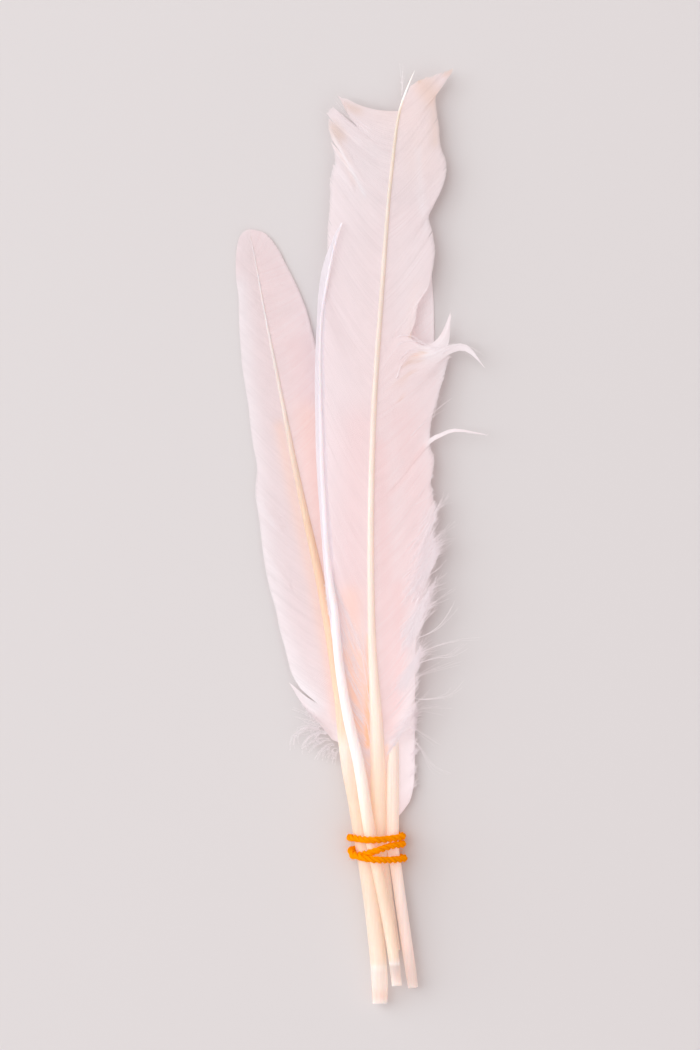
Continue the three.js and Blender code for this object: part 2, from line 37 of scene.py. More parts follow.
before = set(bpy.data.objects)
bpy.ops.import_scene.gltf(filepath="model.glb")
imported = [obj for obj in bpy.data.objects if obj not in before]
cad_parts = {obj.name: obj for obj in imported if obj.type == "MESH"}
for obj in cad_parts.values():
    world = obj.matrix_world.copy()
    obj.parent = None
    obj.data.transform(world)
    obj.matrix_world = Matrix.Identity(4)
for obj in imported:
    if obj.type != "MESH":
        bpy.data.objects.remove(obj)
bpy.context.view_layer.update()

# Plan positions are in drawing steps, counted from the middle of the tie: x to the right, y toward
# the tips. Heights above the floor and radii in the tables are in millimetres. A length named here
# is in metres where nothing else is said.
STEP = 0.0002  # one drawing step
MILLIMETRE = 0.001
MIDDLE_X = 0.5  # the bunch's middle, in drawing steps from the middle of the tie
MIDDLE_Y = 311

BARB_PARTS = 14  # parts of a barb's line from the shaft to its tip
BARB_REACH = 0.42  # how far out a barb has gone where it turns upward, as a share of its way
BARB_LIFT = 0.26  # how far up it has gone there
BARB_JITTER = 0.06  # how unevenly the roots are spaced, as a share of their gap
BARB_LEAN = 0.00011  # how far the tips of a group lean to its middle
BARB_STIR = 0.00003  # how far the tips of a group rise or sink together
BARB_UNEVEN = 0.00009  # how unevenly the barbs end
LOOSE_ENDS = (-0.0006, 0.0014)  # how much shorter or longer loose barbs end
LOOSE_FADE = 90  # drawing steps of shaft over which loose barbs give way to firm ones
HALF_WIDTHS = (0.00002, 0.0004)  # the least and the most that a barb reaches to each side
GROUP_SIZES = (7, 30)  # how many barbs cling together: at least, and fewer than
TIP_WEIGHT = 0.8  # how much the gaps at the tips count when the barbs are spaced
TONE_SPREAD = 0.5  # how much single barbs and yarns differ in tone

# A barb's section, corner by corner: how far out it lies, how far up it tilts with its width, and
# how far up the ridge it lies.
BARB_PROFILE = [(-1, -0.08, 0), (-0.24, 0, 0.3), (0, 0, 1), (0.24, 0, 0.3), (1, 0.08, 0)]

BARB_STREAKS = 2600  # noise steps to a metre of shaft
BARB_PATCHES = 420  # the same for the broader patches
BARBULES = 52000  # radians of ripple to a metre of barb
BARB_THROUGH = 0.45  # share of the light that comes through

STRAND_STATIONS = 14
STRAND_SIDES = 4
STRAND_LOW = 0.00008  # the least height of a strand above the floor
WISP_STRANDS = 4  # the strand that was written down and the finer ones beside it
WISP_START = 0.3  # share of a wisp's way from the shaft where it starts to show
WISP_BEND = 0.0007  # how far the finer strands bend away from the one written down
WISP_WAVE = 0.00007
TUFT_PITCH = 7  # drawing steps of shaft to one tuft of loose barbs
TUFT_SPREAD = 1.8  # drawing steps of shaft that a tuft's roots spread over to each side
TUFT_TURN = 0.35  # how far the tufts swerve off, to either side
FRINGE_TURN = 0.22  # how far single strands of a tuft swerve from one another
FRINGE_RISE = 0.12  # how far they swerve up or down
FRINGE_JITTER = 0.14  # how unevenly the strands start, as a share of the barb
FRINGE_WAVE = 0.00008
HAIR_STATIONS = 3
HAIR_SIDES = 3
HAIR_LENGTH = 0.0008
HAIR_RADIUS = 0.000013
HAIR_LOW = 0.00003  # the least height of a hair above the floor
FLUFF_GLOW = (1.0, 0.94, 0.93)
# painted glow of the down, lifting its shade
FLUFF_PAINTED_GLOW = 0.1

QUILL_PARTS = 90
QUILL_WALL = 0.00036
QUILL_SMOOTH = 0.8  # radians
SLANT_REACH = 0.008  # how far up a quill its slanted cut is taken up
HOLLOW_STEPS = 3
HORN_PAINTED_GLOW = 0.08  # how much more painted glow the horn gives off than the pith inside it
HORN_THROUGH = 0.18  # share of the light that comes through
HORN_GLOW = (0.98, 0.8, 0.66, 1)
HORN_FIBRES = (5000, 90, 5000)  # noise steps to a metre across, along and across the bunch
HORN_CLOUDS = (700, 120, 700)
HORN_STREAKS = (1700, 60, 1700)
PITH_PARTS = 40
PITH_SHARE = 0.72  # the pith's radius as a share of the shaft's
PITH_SIDES = 20

CORD_RADIUS = 0.76  # mm
CORD_GAP = 0.08  # mm between the cord and the quills
CORD_LAY = 3.9  # mm of cord to one full twist of its strands
CORD_STATIONS = 330
CORD_STRANDS = 3
CORD_SEED = 7
STRAND_OFFSET = 0.00037  # from the cord's middle to the middle of a strand
YARN_RADIUS = 0.00019  # also how far a yarn lies from the middle of its strand
YARN_LAY = 0.0031  # cord to one full twist of a strand's yarns
YARN_SIDES = 8
YARN_ENDS = [0.4, 0.75, 0.95]  # how a yarn thins at its very ends
YARN_LIGHT = (1.0, 0.37, 0.0)  # the paler fibres
YARN_SHADE = 0.78  # the darker fibres' share of the cord's colour
FIBRE_COUNT = 420
FIBRE_STATIONS = 6
FIBRE_SIDES = 3
FIBRE_ROOT = 0.00068  # how far from the cord's middle the stray fibres start
FIBRE_SIZES = (0.0003, 0.0009)  # how far the fibres run
FIBRE_RADIUS = 0.000011
FIBRE_LOW = 0.00002  # the least height of a fibre above the floor

# Where things lie in a strip's cell of the UV map, as shares of the cell or of a column.
CELL_FOOT = 0.02  # where the sides start
CELL_SIDES = 0.9  # how tall they are
CELL_EDGES = (0.08, 0.92)  # the two edges of a side in its column
CELL_CAPS = (0.945, 0.97)  # where the caps start
CELL_CAP = 0.012  # how tall they are

FLOOR_SIZE = 6
# Each light is a square: name, place, length of a side, watts, colour.
LIGHTS = [
    ("key", (-1.35, 0.65, 2.0), 2.4, 37.0, (0.895, 0.985, 1.02)),
    ("low", (-2.4, 0.6, 0.6), 2.0, 31.0, (0.895, 0.985, 1.02)),
    ("fill", (1.3, -1.3, 2.1), 2.5, 12.0, (0.9, 1.0, 1.04)),
]
WORLD_COLOUR = (1.0, 0.86, 0.83, 1)
WORLD_STRENGTH = 0.58
CAMERA_PLACE = (-0.0021, 0.0022, 0.79)
CAMERA_LENS = 135
CAMERA_NEAR = 0.05

# ---------------------------------------------------------------- the feathers

# Each feather is one table:
#   node, label    the solid it stands for, and how its pieces' names start
#   seed           starts its random numbers
#   tints          the names of its barbs' colours at the shaft and at the edge
#   glow           colour of the light that comes through the barbs
#   horn           colours of the quill, each with its share of the way from the cut end to the tip
#   ragged         how unevenly its barbs lie and end
#   loose          a vane, and the highest root at which its barbs have come apart
#   hairs          fine hairs to each millimetre of loose strand
#   fluff, shade   how light the loose strands and the barbs are
#   curl           how much its wisps wave
#   gleam          painted glow: light the barbs and the quill give off by themselves, lifting their shade
#   fringes        fine barbs that run on past an edge: [vane, lowest root, highest root, how many,
#                  mm past the edge, share of a barb where they start, mm that they lie above it]
#   folds          swellings of the vanes: [line, mm high, width in steps]
#   marks          where a colour shows, for every kind of mark: [line, width in steps, strength]
#   hollow, slant  mm that the cut end is hollow, and mm that the cut slants
#   clear          the shares of the way between which clear horn turns milky
#   pith, core     the lowest and the highest y of the pith, and its colour
#   shaft          [x, y, height, radius] from the cut end to the tip
#   vanes          two, and their pieces are named left and right in this order
#   wisps          single loose strands, each written like a barb
# A vane's lock is a list of barbs that hold together, [y of its root on the shaft, [x, y, height] of
# its tip]; a barb that bends passes through more points on the way. rise is where the vane grows from
# the shaft, as a share of its radius above the middle; drop is how much of its fall it has made half
# way; tone makes the whole vane lighter, painted light on a vane that tilts away from the lamps.

FRONT = {
    "node": "feather_front",
    "label": "front",
    "seed": 11,
    "tints": ("vane", "vane_edge"),
    "glow": (1.0, 0.85, 0.82),
    # the paler stretch from 0.12 to 0.21 is painted light, lifting the quill where the edge-on quill shades
    # it
    "horn": [
        (0.0, (0.9, 0.74, 0.65)), (0.12, (0.98, 0.79, 0.66)), (0.165, (1, 0.79, 0.63)),
        (0.21, (0.99, 0.82, 0.69)), (0.25, (0.96, 0.83, 0.74)), (0.3, (0.95, 0.81, 0.73)),
        (0.5, (0.9, 0.78, 0.71)), (0.62, (0.82, 0.72, 0.66)), (0.8, (0.78, 0.68, 0.62)),
        (0.95, (0.8, 0.67, 0.57)), (0.972, (1, 0.98, 0.98)),
    ],
    "ragged": 1.0,
    "loose": (1, 262),
    "hairs": 1.3,
    "fluff": 0.97,
    "curl": 1.0,
    "gleam": 0.12,
    "shade": 1.02,
    "fringes": [
        [1, 86, 140, 150, 4.0, 0.62, 0.05], [1, 130, 222, 360, 6.2, 0.62, 0.05],
        [1, 210, 262, 110, 4.6, 0.7, 0], [1, 258, 338, 34, 0.9, 0.8, 0],
        [1, 339, 440, 14, 0.8, 0.85, 0], [0, 66, 150, 80, 1.5, 0.5, 0.22],
        [0, 90, 190, 50, 0.8, 0.4, 0.16], [1, 86, 150, 16, 0.6, 0.4, 0.16],
    ],
    "folds": [
        [[(-28, 710), (-16, 692)], 0.3, 5],
        [[(-14, 689), (-4, 675)], 0.15, 4],
        [[(-27, 690), (-9, 663)], 0.2, 4],
    ],
    "marks": {
        # flush marks: the broad ones are pinker dye; the line along the right side of the shaft and the
        # thin one in the crease below the curl are painted pink shade
        "flush": [
            [[(44, 425), (58, 350), (50, 250)], 18, 0.18],
            [[(20, 400), (24, 300), (28, 200), (30, 120)], 10, 0.28],
            [[(38, 260), (40, 200), (36, 140)], 9, 0.34],
            [[(66, 404), (44, 368), (24, 348)], 4, 0.25],
            [[(-2, 420), (-6, 320), (-6, 240)], 20, 0.24],
        ],
        # peach marks: painted warm shade that glows by itself, in the folds at the top left, the groove by
        # the curl, beside the shafts, in the gaps between the quills and where the edge-on feather shades
        # this one; the two broad ones near the tip are a warmer tint of the dye
        "peach": [
            [[(-26, 708), (-12, 682)], 4, 0.14],
            [[(-20, 697), (-6, 664)], 3, 0.1],
            [[(9, 210), (8, 160), (6, 120)], 3.5, 0.5],
            [[(8.5, 160), (7, 130), (7, 102)], 3.4, 0.85],
            [[(6, 84), (8, 50), (12, 20)], 8, 0.34],
            [[(27, 100), (26, 60), (27, 20)], 3, 0.34],
            [[(-1, 190), (3, 150), (5, 110)], 11, 0.36],
            [[(-10, 250), (-6, 200)], 12, 0.24],
            [[(-12, 200), (-7, 160), (-1, 115)], 6, 0.5],
            [[(52, 489), (70, 495)], 3, 0.2],
            [[(56, 562), (52, 530), (50, 515)], 5, 0.06],
            [[(30, 740), (58, 720), (62, 690)], 26, 0.1],
            [[(62, 758), (76, 745)], 12, 0.14],
        ],
        "pale": [
            [[(58, 697), (61, 647), (68, 617)], 5, 0.6],
            [[(70, 495), (92, 500), (108, 500), (125, 479)], 12, 1.0],
            [[(92, 530), (88, 505)], 7, 0.7],
            [[(86, 482), (85, 455), (79, 425), (71, 405)], 6, 0.9],
            [[(80, 412), (96, 417), (125, 413)], 5, 0.8],
            [[(72, 330), (62, 240), (54, 165), (46, 124)], 8, 0.5],
            [[(-5, 690), (60, 700)], 75, 0.3],
            [[(50, 600), (55, 540)], 30, 0.4],
            # the next three pale lines follow the crests of the folds and the ridge of the top lock:
            # painted highlights
            [[(-28, 712), (-10, 680), (4, 652)], 2.2, 0.9],
            [[(-24, 692), (-4, 668)], 1.6, 0.6],
            [[(-22, 751), (0, 738), (25, 732)], 4, 0.3],
        ],
        # stain marks: the lines along the grooves by the curl (38 to 66, 446 to 495) and the one at the top
        # left (-27, 720) are painted shade in folds; the others are brownish patches near the tip
        "stain": [
            [[(93, 778), (86, 773)], 4, 0.4],
            [[(38, 458), (43, 476), (52, 489), (66, 495)], 1.7, 0.36],
            [[(40, 446), (47, 470), (60, 487)], 1.3, 0.26],
            [[(66, 762), (77, 742)], 12, 0.26],
            [[(75, 735), (76, 705)], 6, 0.24],
            [[(-27, 720), (-20, 711)], 6, 0.36],
            [[(59, 767), (60, 766)], 2.2, 0.7],
            [[(-14, 741), (-2, 736)], 5, 0.3],
        ],
    },
    "hollow": 3,
    "slant": 0.4,
    "clear": (0.1, 0.16),
    "pith": (-86, 70),
    "core": (0.92, 0.78, 0.68),
    "shaft": [
        [36, -105, 2.35, 0.95], [32.3, -83, 2.5, 1.05], [27.6, -53, 2.7, 1.17], [23.3, -23, 2.85, 1.28],
        [19.7, 0, 2.97, 1.38], [18.6, 27, 3.1, 1.5], [18.2, 57, 3.24, 1.58], [17.4, 97, 3.55, 1.48],
        [16.3, 127, 3.85, 1.32], [14.8, 152, 4.1, 1.15], [12.5, 192, 4.42, 0.88], [11.2, 237, 4.7, 0.76],
        [10.6, 297, 4.9, 0.66], [11, 347, 4.95, 0.62], [12.2, 397, 4.9, 0.6], [14.2, 447, 4.8, 0.57],
        [17.6, 497, 4.65, 0.53], [21.2, 547, 4.45, 0.49], [24.8, 597, 4.2, 0.45], [28.6, 647, 3.9, 0.39],
        [32.8, 687, 3.6, 0.35], [36.3, 717, 3.35, 0.31], [40, 738, 3.18, 0.27], [43, 747, 3.15, 0.24],
        [47, 758, 3.15, 0.18], [51, 768, 3.15, 0.12], [54.5, 776, 3.15, 0.05],
    ],
    "vanes": [
        {"rise": 0.2, "drop": 0.3, "locks": [
            [[734, [30, 734.5, 3.2], [16, 736, 3.1], [0, 741, 2.95], [-13, 748, 2.8]],
             [725, [25, 727.5, 3.2], [12, 730, 3.1], [-4, 738, 2.9], [-18, 749, 2.75]],
             [713, [20, 717, 3.2], [6, 724, 3.05], [-9, 736, 2.85], [-22.5, 752, 2.7]],
             [699, [20, 703.5, 3.4], [7, 712.5, 3.1], [-8, 727, 2.9], [-22, 751.5, 2.7]]],
            [[698.7, [20, 702.5, 3.35], [6, 712, 3.1], [-10, 725, 2.85], [-27, 740, 2.65]],
             [690, [-30, 738, 2.62]],
             [683, [19, 686.5, 3.4], [4, 697, 3.1], [-14, 713, 2.8], [-33, 733.5, 2.6]]],
            [[682.7, [19, 686, 3.4], [4, 696.5, 3.1], [-14, 712, 2.8], [-31.5, 729, 2.6]],
             [667, [-31.5, 721, 2.65]], [642, [-29, 708.5, 2.75]]],
            [[648, [-29, 705, 2.5]], [641, [-26.5, 697, 2.6]], [625, [-25, 687, 2.65]],
             [609, [-28, 676, 2.65]], [595, [-30, 665, 2.7]], [577, [-30, 647, 2.75]],
             [555, [-31.5, 629, 2.8]], [535, [-32.5, 612, 2.85]], [517, [-32.5, 595, 2.9]],
             [508, [-32, 586, 3.0]]],
            [[507, [-31, 583, 3.1]], [495, [-33.5, 572, 3.2]], [479, [-35, 556, 3.35]],
             [463, [-35, 541, 3.8]], [445, [-35, 525, 4.15]], [423, [-36.5, 505, 4.15]],
             [401, [-36.8, 485, 4.15]], [381, [-35.5, 466, 4.15]], [359, [-36.2, 445, 4.15]],
             [335, [-35, 419, 4.2]], [315, [-33.5, 397, 4.25]], [291, [-33, 373, 4.3]],
             [262, [-31.5, 347, 4.4]], [235, [-29.5, 322, 4.5]], [209, [-27.5, 297, 4.6]],
             [188, [-27, 273, 4.1]], [170, [-25.5, 251, 4.0]], [155, [-24, 230, 4.0]],
             [139, [-22, 205, 4.0]], [128, [-20, 188, 4.0]], [118, [-18, 172, 4.0]],
             [109, [-16, 156, 4.0]], [101, [-13.5, 141, 4.0]], [94, [-11, 127, 4.0]],
             [87, [-8, 115, 4.0]], [81, [-5, 105, 3.95]], [74, [0, 94, 3.9]], [67, [3.5, 84, 3.8]],
             [56, [5.5, 70, 3.6]], [44, [7.5, 56, 3.5]], [30, [9.5, 40, 3.4]], [16, [11.5, 24, 3.3]]],
        ]},
        # tone: painted light, as this vane tilts away from the lamps
        {"rise": 0.2, "drop": 0.3, "tone": 1.5, "locks": [
            [[744, [51, 761, 3.1]], [741, [60, 767, 3.05]], [735, [76, 772, 2.95]],
             [727, [93, 778, 2.85]], [711, [84, 763, 2.8]], [699, [77, 754, 2.75]],
             [688, [75.5, 746, 2.75]], [675, [77, 733, 2.75]], [660, [79, 719, 2.75]],
             [646, [80, 706, 2.75]], [637, [81.5, 698, 2.75]], [628, [85, 688, 2.75]],
             [619, [86.5, 679, 2.75]], [603, [84.5, 666, 2.8]], [589, [80, 654, 2.9]],
             [577, [74, 642, 2.95]], [566, [69, 631, 3.0]], [554, [71, 619, 3.0]], [541, [74, 606, 3.0]],
             [527, [75, 593, 3.05]], [513, [73, 579, 3.1]], [500, [70, 565, 3.15]], [496, [67, 557, 3.3]],
             [492, [60, 549, 3.5]], [488, [57, 538, 3.7]], [484, [55.5, 526, 3.8]], [476, [51, 514, 3.9]]],
            [[475.6, [40, 509.5, 4.4], [64, 500, 4.1], [80, 510, 3.9], [90, 534, 3.8]],
             [467, [43, 501, 4.5], [68, 496, 4.2], [84, 507, 4.0], [91, 531, 3.85]],
             [456, [45, 486, 4.5], [70, 492.5, 4.2], [87, 501, 3.9], [90.5, 529, 3.8]]],
            [[455, [46, 485, 4.5], [72, 492, 4.2], [90, 501, 3.9], [108, 500.5, 3.6], [125, 479, 3.2]],
             [444, [48, 472, 4.4], [74, 483, 4.0], [90, 494, 3.7], [106, 496, 3.5], [123.5, 480, 3.2]]],
            [[443.6, [50, 470, 4.35], [75, 482, 3.9], [89, 493, 3.3]], [423, [89, 488, 3.0]],
             [413, [86.5, 481, 2.9]], [401, [83.5, 469, 2.95]], [387, [79.5, 455, 3.0]],
             [375, [76, 443, 3.1]], [363, [72.5, 431, 3.2]], [351, [70.5, 420, 3.2]],
             [339, [70, 409, 3.25]]],
            [[338, [42, 377, 4.2], [68, 406, 3.4], [80, 413, 3.4], [96, 418, 3.3], [125, 413, 2.9]],
             [332, [42, 371, 4.2], [68, 402, 3.4], [80, 410, 3.4], [96, 415.5, 3.3], [124, 412, 2.9]]],
            [[341, [69.5, 406, 3.1]], [332, [70, 400, 3.2]], [318, [74, 390, 3.25]], [304, [73, 376, 3.3]],
             [291, [70.5, 364, 3.35]], [278, [73, 351, 3.4]], [264, [75, 338, 3.4]],
             [252, [74.5, 328, 3.5]], [240, [71.5, 317, 3.6]], [229, [72, 306, 3.65]],
             [216, [74, 291, 3.7]], [202, [71, 275, 3.8]], [189, [68, 259, 3.9]], [176, [64.5, 243, 4.0]],
             [164, [62, 229, 4.1]], [153, [60, 215, 4.15]], [143, [58.5, 201, 4.2]],
             [133, [57, 185, 4.2]], [124, [56.5, 171, 4.2]], [116, [56, 157, 4.3]],
             [109, [54, 145, 4.3]], [103, [51, 134, 4.2]], [98, [47, 124, 4.1]],
             [93, [42, 115, 4.0]], [89, [36, 106, 3.85]], [85, [30, 97, 3.7]], [79, [28, 89, 3.6]],
             [70, [27.5, 82, 3.4]], [60, [27, 73, 3.25]], [48, [27, 60, 3.1]], [34, [27, 46, 3.0]],
             [20, [27, 30, 2.9]]],
        ]},
    ],
    "wisps": [
        [744, [42, 782, 3.1]],
        [706, [10, 718, 3.1], [-8, 732, 2.9], [-20, 748, 2.7]],
        [702, [8, 715, 3.1], [-10, 729, 2.9], [-24, 745, 2.7]],
        [699, [6, 713, 3.1], [-13, 727, 2.9], [-29, 742, 2.7]],
        [688, [4, 704, 3.1], [-16, 721, 2.9], [-34, 739, 2.7]],
        [150, [8, 176, 4.6], [3, 205, 4.7], [1, 236, 4.75]],
        [128, [9, 150, 4.5], [4, 180, 4.6], [-2, 214, 4.7]],
        [112, [10, 134, 4.4], [5, 160, 4.5], [3, 190, 4.6]],
        [98, [9, 116, 4.3], [4, 134, 4.4], [-3, 158, 4.5]],
        [92, [11, 104, 4.3], [8, 122, 4.4], [7, 150, 4.5]],
        [160, [4, 190, 4.7], [-6, 214, 4.7], [-13, 240, 4.75]],
        [455, [76, 490, 4.1], [92, 499, 3.9], [108, 500, 3.6], [124, 491, 3.3]],
        [474, [33, 506, 4.75], [50, 511, 4.6], [72, 500, 4.4], [93, 503, 4.1]],
        [463, [34, 498, 4.75], [52, 506, 4.6], [74, 500, 4.4], [96, 504, 4.1]],
        [448, [36, 482, 4.75], [50, 496, 4.6], [70, 498, 4.4], [90, 502, 4.0]],
        [434, [34, 464, 4.8], [42, 483, 4.7], [56, 495, 4.6], [78, 500, 4.3]],
        [369, [55, 415, 3.9], [74, 435, 3.3], [89.5, 447.5, 3.0]],
        [255, [55, 291, 4.0], [80, 312, 3.7], [95, 325.5, 3.5]],
        [247, [58, 281, 4.0], [78, 294, 3.7], [92, 304, 3.5]],
        [241, [60, 267, 4.0], [76, 277, 3.7], [87, 288, 3.5]],
        [225, [55, 249, 4.1], [72, 262, 3.8], [87, 274, 3.5]],
        [213, [52, 229, 4.1], [75, 245, 3.8], [96, 258, 3.4]],
        [197, [52, 207, 4.1], [75, 218, 3.8], [88, 233, 3.5], [95, 247, 3.3]],
        [179, [48, 189, 4.2], [70, 199, 3.8], [95, 207, 3.4], [121, 210, 3.1]],
        [171, [48, 181, 4.2], [72, 188.5, 3.8], [90, 191, 3.4], [107, 204, 3.2]],
        [157, [45, 163, 4.2], [60, 172, 3.9], [80, 179, 3.5], [102, 186, 3.2]],
        [147, [42, 150, 4.3], [65, 148, 3.8], [90, 153, 3.4], [104, 167, 3.2]],
        [143, [45, 138, 4.3], [55, 144, 4.1], [70, 158, 3.8]],
        [137, [45, 135, 4.3], [65, 139, 3.8], [92, 139, 3.3]],
        [131, [42, 125, 4.3], [60, 115, 3.5], [81, 102, 2.8]],
        [127, [40, 117, 4.3], [58, 102, 3.4], [72, 82, 2.6], [89, 72, 2.0]],
    ],
}

EDGE_ON = {
    "node": "feather_edge_on",
    "label": "edge_on",
    "seed": 23,
    "tints": ("pale", "pale"),
    "glow": (0.97, 0.95, 0.98),
    # the bright cut end and the white rim at 0.032, where the pith stops, are painted highlights; the grey
    # stretch between them is painted shade of the floor seen through the empty tube
    "horn": [
        (0.0, (1, 0.95, 0.93)), (0.008, (0.97, 0.84, 0.79)), (0.014, (0.84, 0.72, 0.69)),
        (0.029, (0.72, 0.65, 0.64)), (0.032, (1, 1, 1)), (0.036, (0.95, 0.79, 0.68)),
        (0.12, (0.89, 0.72, 0.6)), (0.19, (0.92, 0.71, 0.58)), (0.25, (0.96, 0.85, 0.78)),
        (0.31, (0.92, 0.86, 0.87)), (0.6, (0.87, 0.83, 0.89)), (1.0, (0.88, 0.84, 0.91)),
    ],
    "ragged": 0.2,
    "loose": None,
    "hairs": 6,
    "fluff": 0.95,
    "curl": 1.0,
    # painted light: the edge-on feather glows more, lifting its steep vane out of its own shade
    "gleam": 0.14,
    "shade": 1.05,
    "fringes": [[0, 176, 240, 20, 0.5, 0.7, 0]],
    "folds": [],
    "marks": {},
    "hollow": 3,
    "slant": 0.5,
    "clear": (0.12, 0.22),
    "pith": (-113, 70),
    "core": (0.97, 0.82, 0.64),
    "shaft": [
        [37, -139, 4.1, 1.0], [34, -113, 4.42, 1.08], [29.5, -83, 4.8, 1.13], [24, -53, 5.18, 1.17],
        [18, -23, 5.48, 1.2], [13, 0, 5.68, 1.2], [9.5, 17, 5.72, 1.2], [6, 39, 5.72, 1.18],
        [0, 77, 5.65, 1.15], [-4.5, 99, 5.62, 1.12], [-9, 117, 5.6, 1.08], [-13, 136, 5.58, 1.03],
        [-17, 157, 5.45, 0.96], [-20, 177, 5.3, 0.9], [-22.5, 197, 5.12, 0.86], [-25.8, 237, 4.85, 0.82],
        [-30.5, 267, 4.62, 0.75], [-33.7, 297, 4.42, 0.68], [-36, 337, 4.2, 0.62],
        [-38.2, 377, 4.02, 0.57], [-39.5, 417, 3.9, 0.53], [-40.4, 457, 3.8, 0.48],
        [-40.6, 497, 3.75, 0.42], [-38.7, 532, 3.75, 0.37], [-35, 555, 3.8, 0.34],
        [-31.4, 574, 3.88, 0.3], [-28, 592, 3.95, 0.27], [-23.4, 609, 4.0, 0.23],
        [-18.2, 623.5, 4.02, 0.16],
    ],
    "vanes": [
        {"rise": 0.3, "drop": 0.5, "locks": [
            [[611, [-20, 620.5, 4.3]], [597, [-25.5, 612, 4.5]], [585, [-29, 602, 4.6]],
             [575, [-32.5, 594.5, 4.7]], [563, [-36, 584, 4.75]], [551, [-38.7, 574, 4.8]],
             [539, [-40, 565, 4.85]], [525, [-41.2, 555, 4.85]], [509, [-42.2, 543, 4.85]],
             [487, [-43, 525, 4.85]], [463, [-44, 505, 4.9]], [437, [-44.6, 483, 4.95]],
             [407, [-44.9, 457, 5.0]], [377, [-44.5, 427, 5.0]], [347, [-44, 397, 5.0]],
             [317, [-42.5, 367, 5.1]], [287, [-40.2, 335, 5.2]], [257, [-38, 305, 5.3]],
             [232, [-36, 279, 5.4]], [212, [-34, 257, 5.5]], [192, [-31, 237, 5.5]],
             [175, [-29, 217, 5.6]]],
        ]},
        {"rise": -0.5, "drop": 0.8, "locks": [
            [[547, [-25, 563, 2.9]], [531, [-15, 555, 2.9]], [511, [-7, 543, 2.9]], [485, [-1, 525, 2.85]],
             [413, [3, 461, 2.8]], [333, [0, 377, 2.85]], [255, [-3, 292, 3.0]], [221, [-7, 255, 3.2]],
             [197, [-12, 228, 3.5]], [182, [-15, 208, 3.8]]],
        ]},
    ],
    "wisps": [],
}

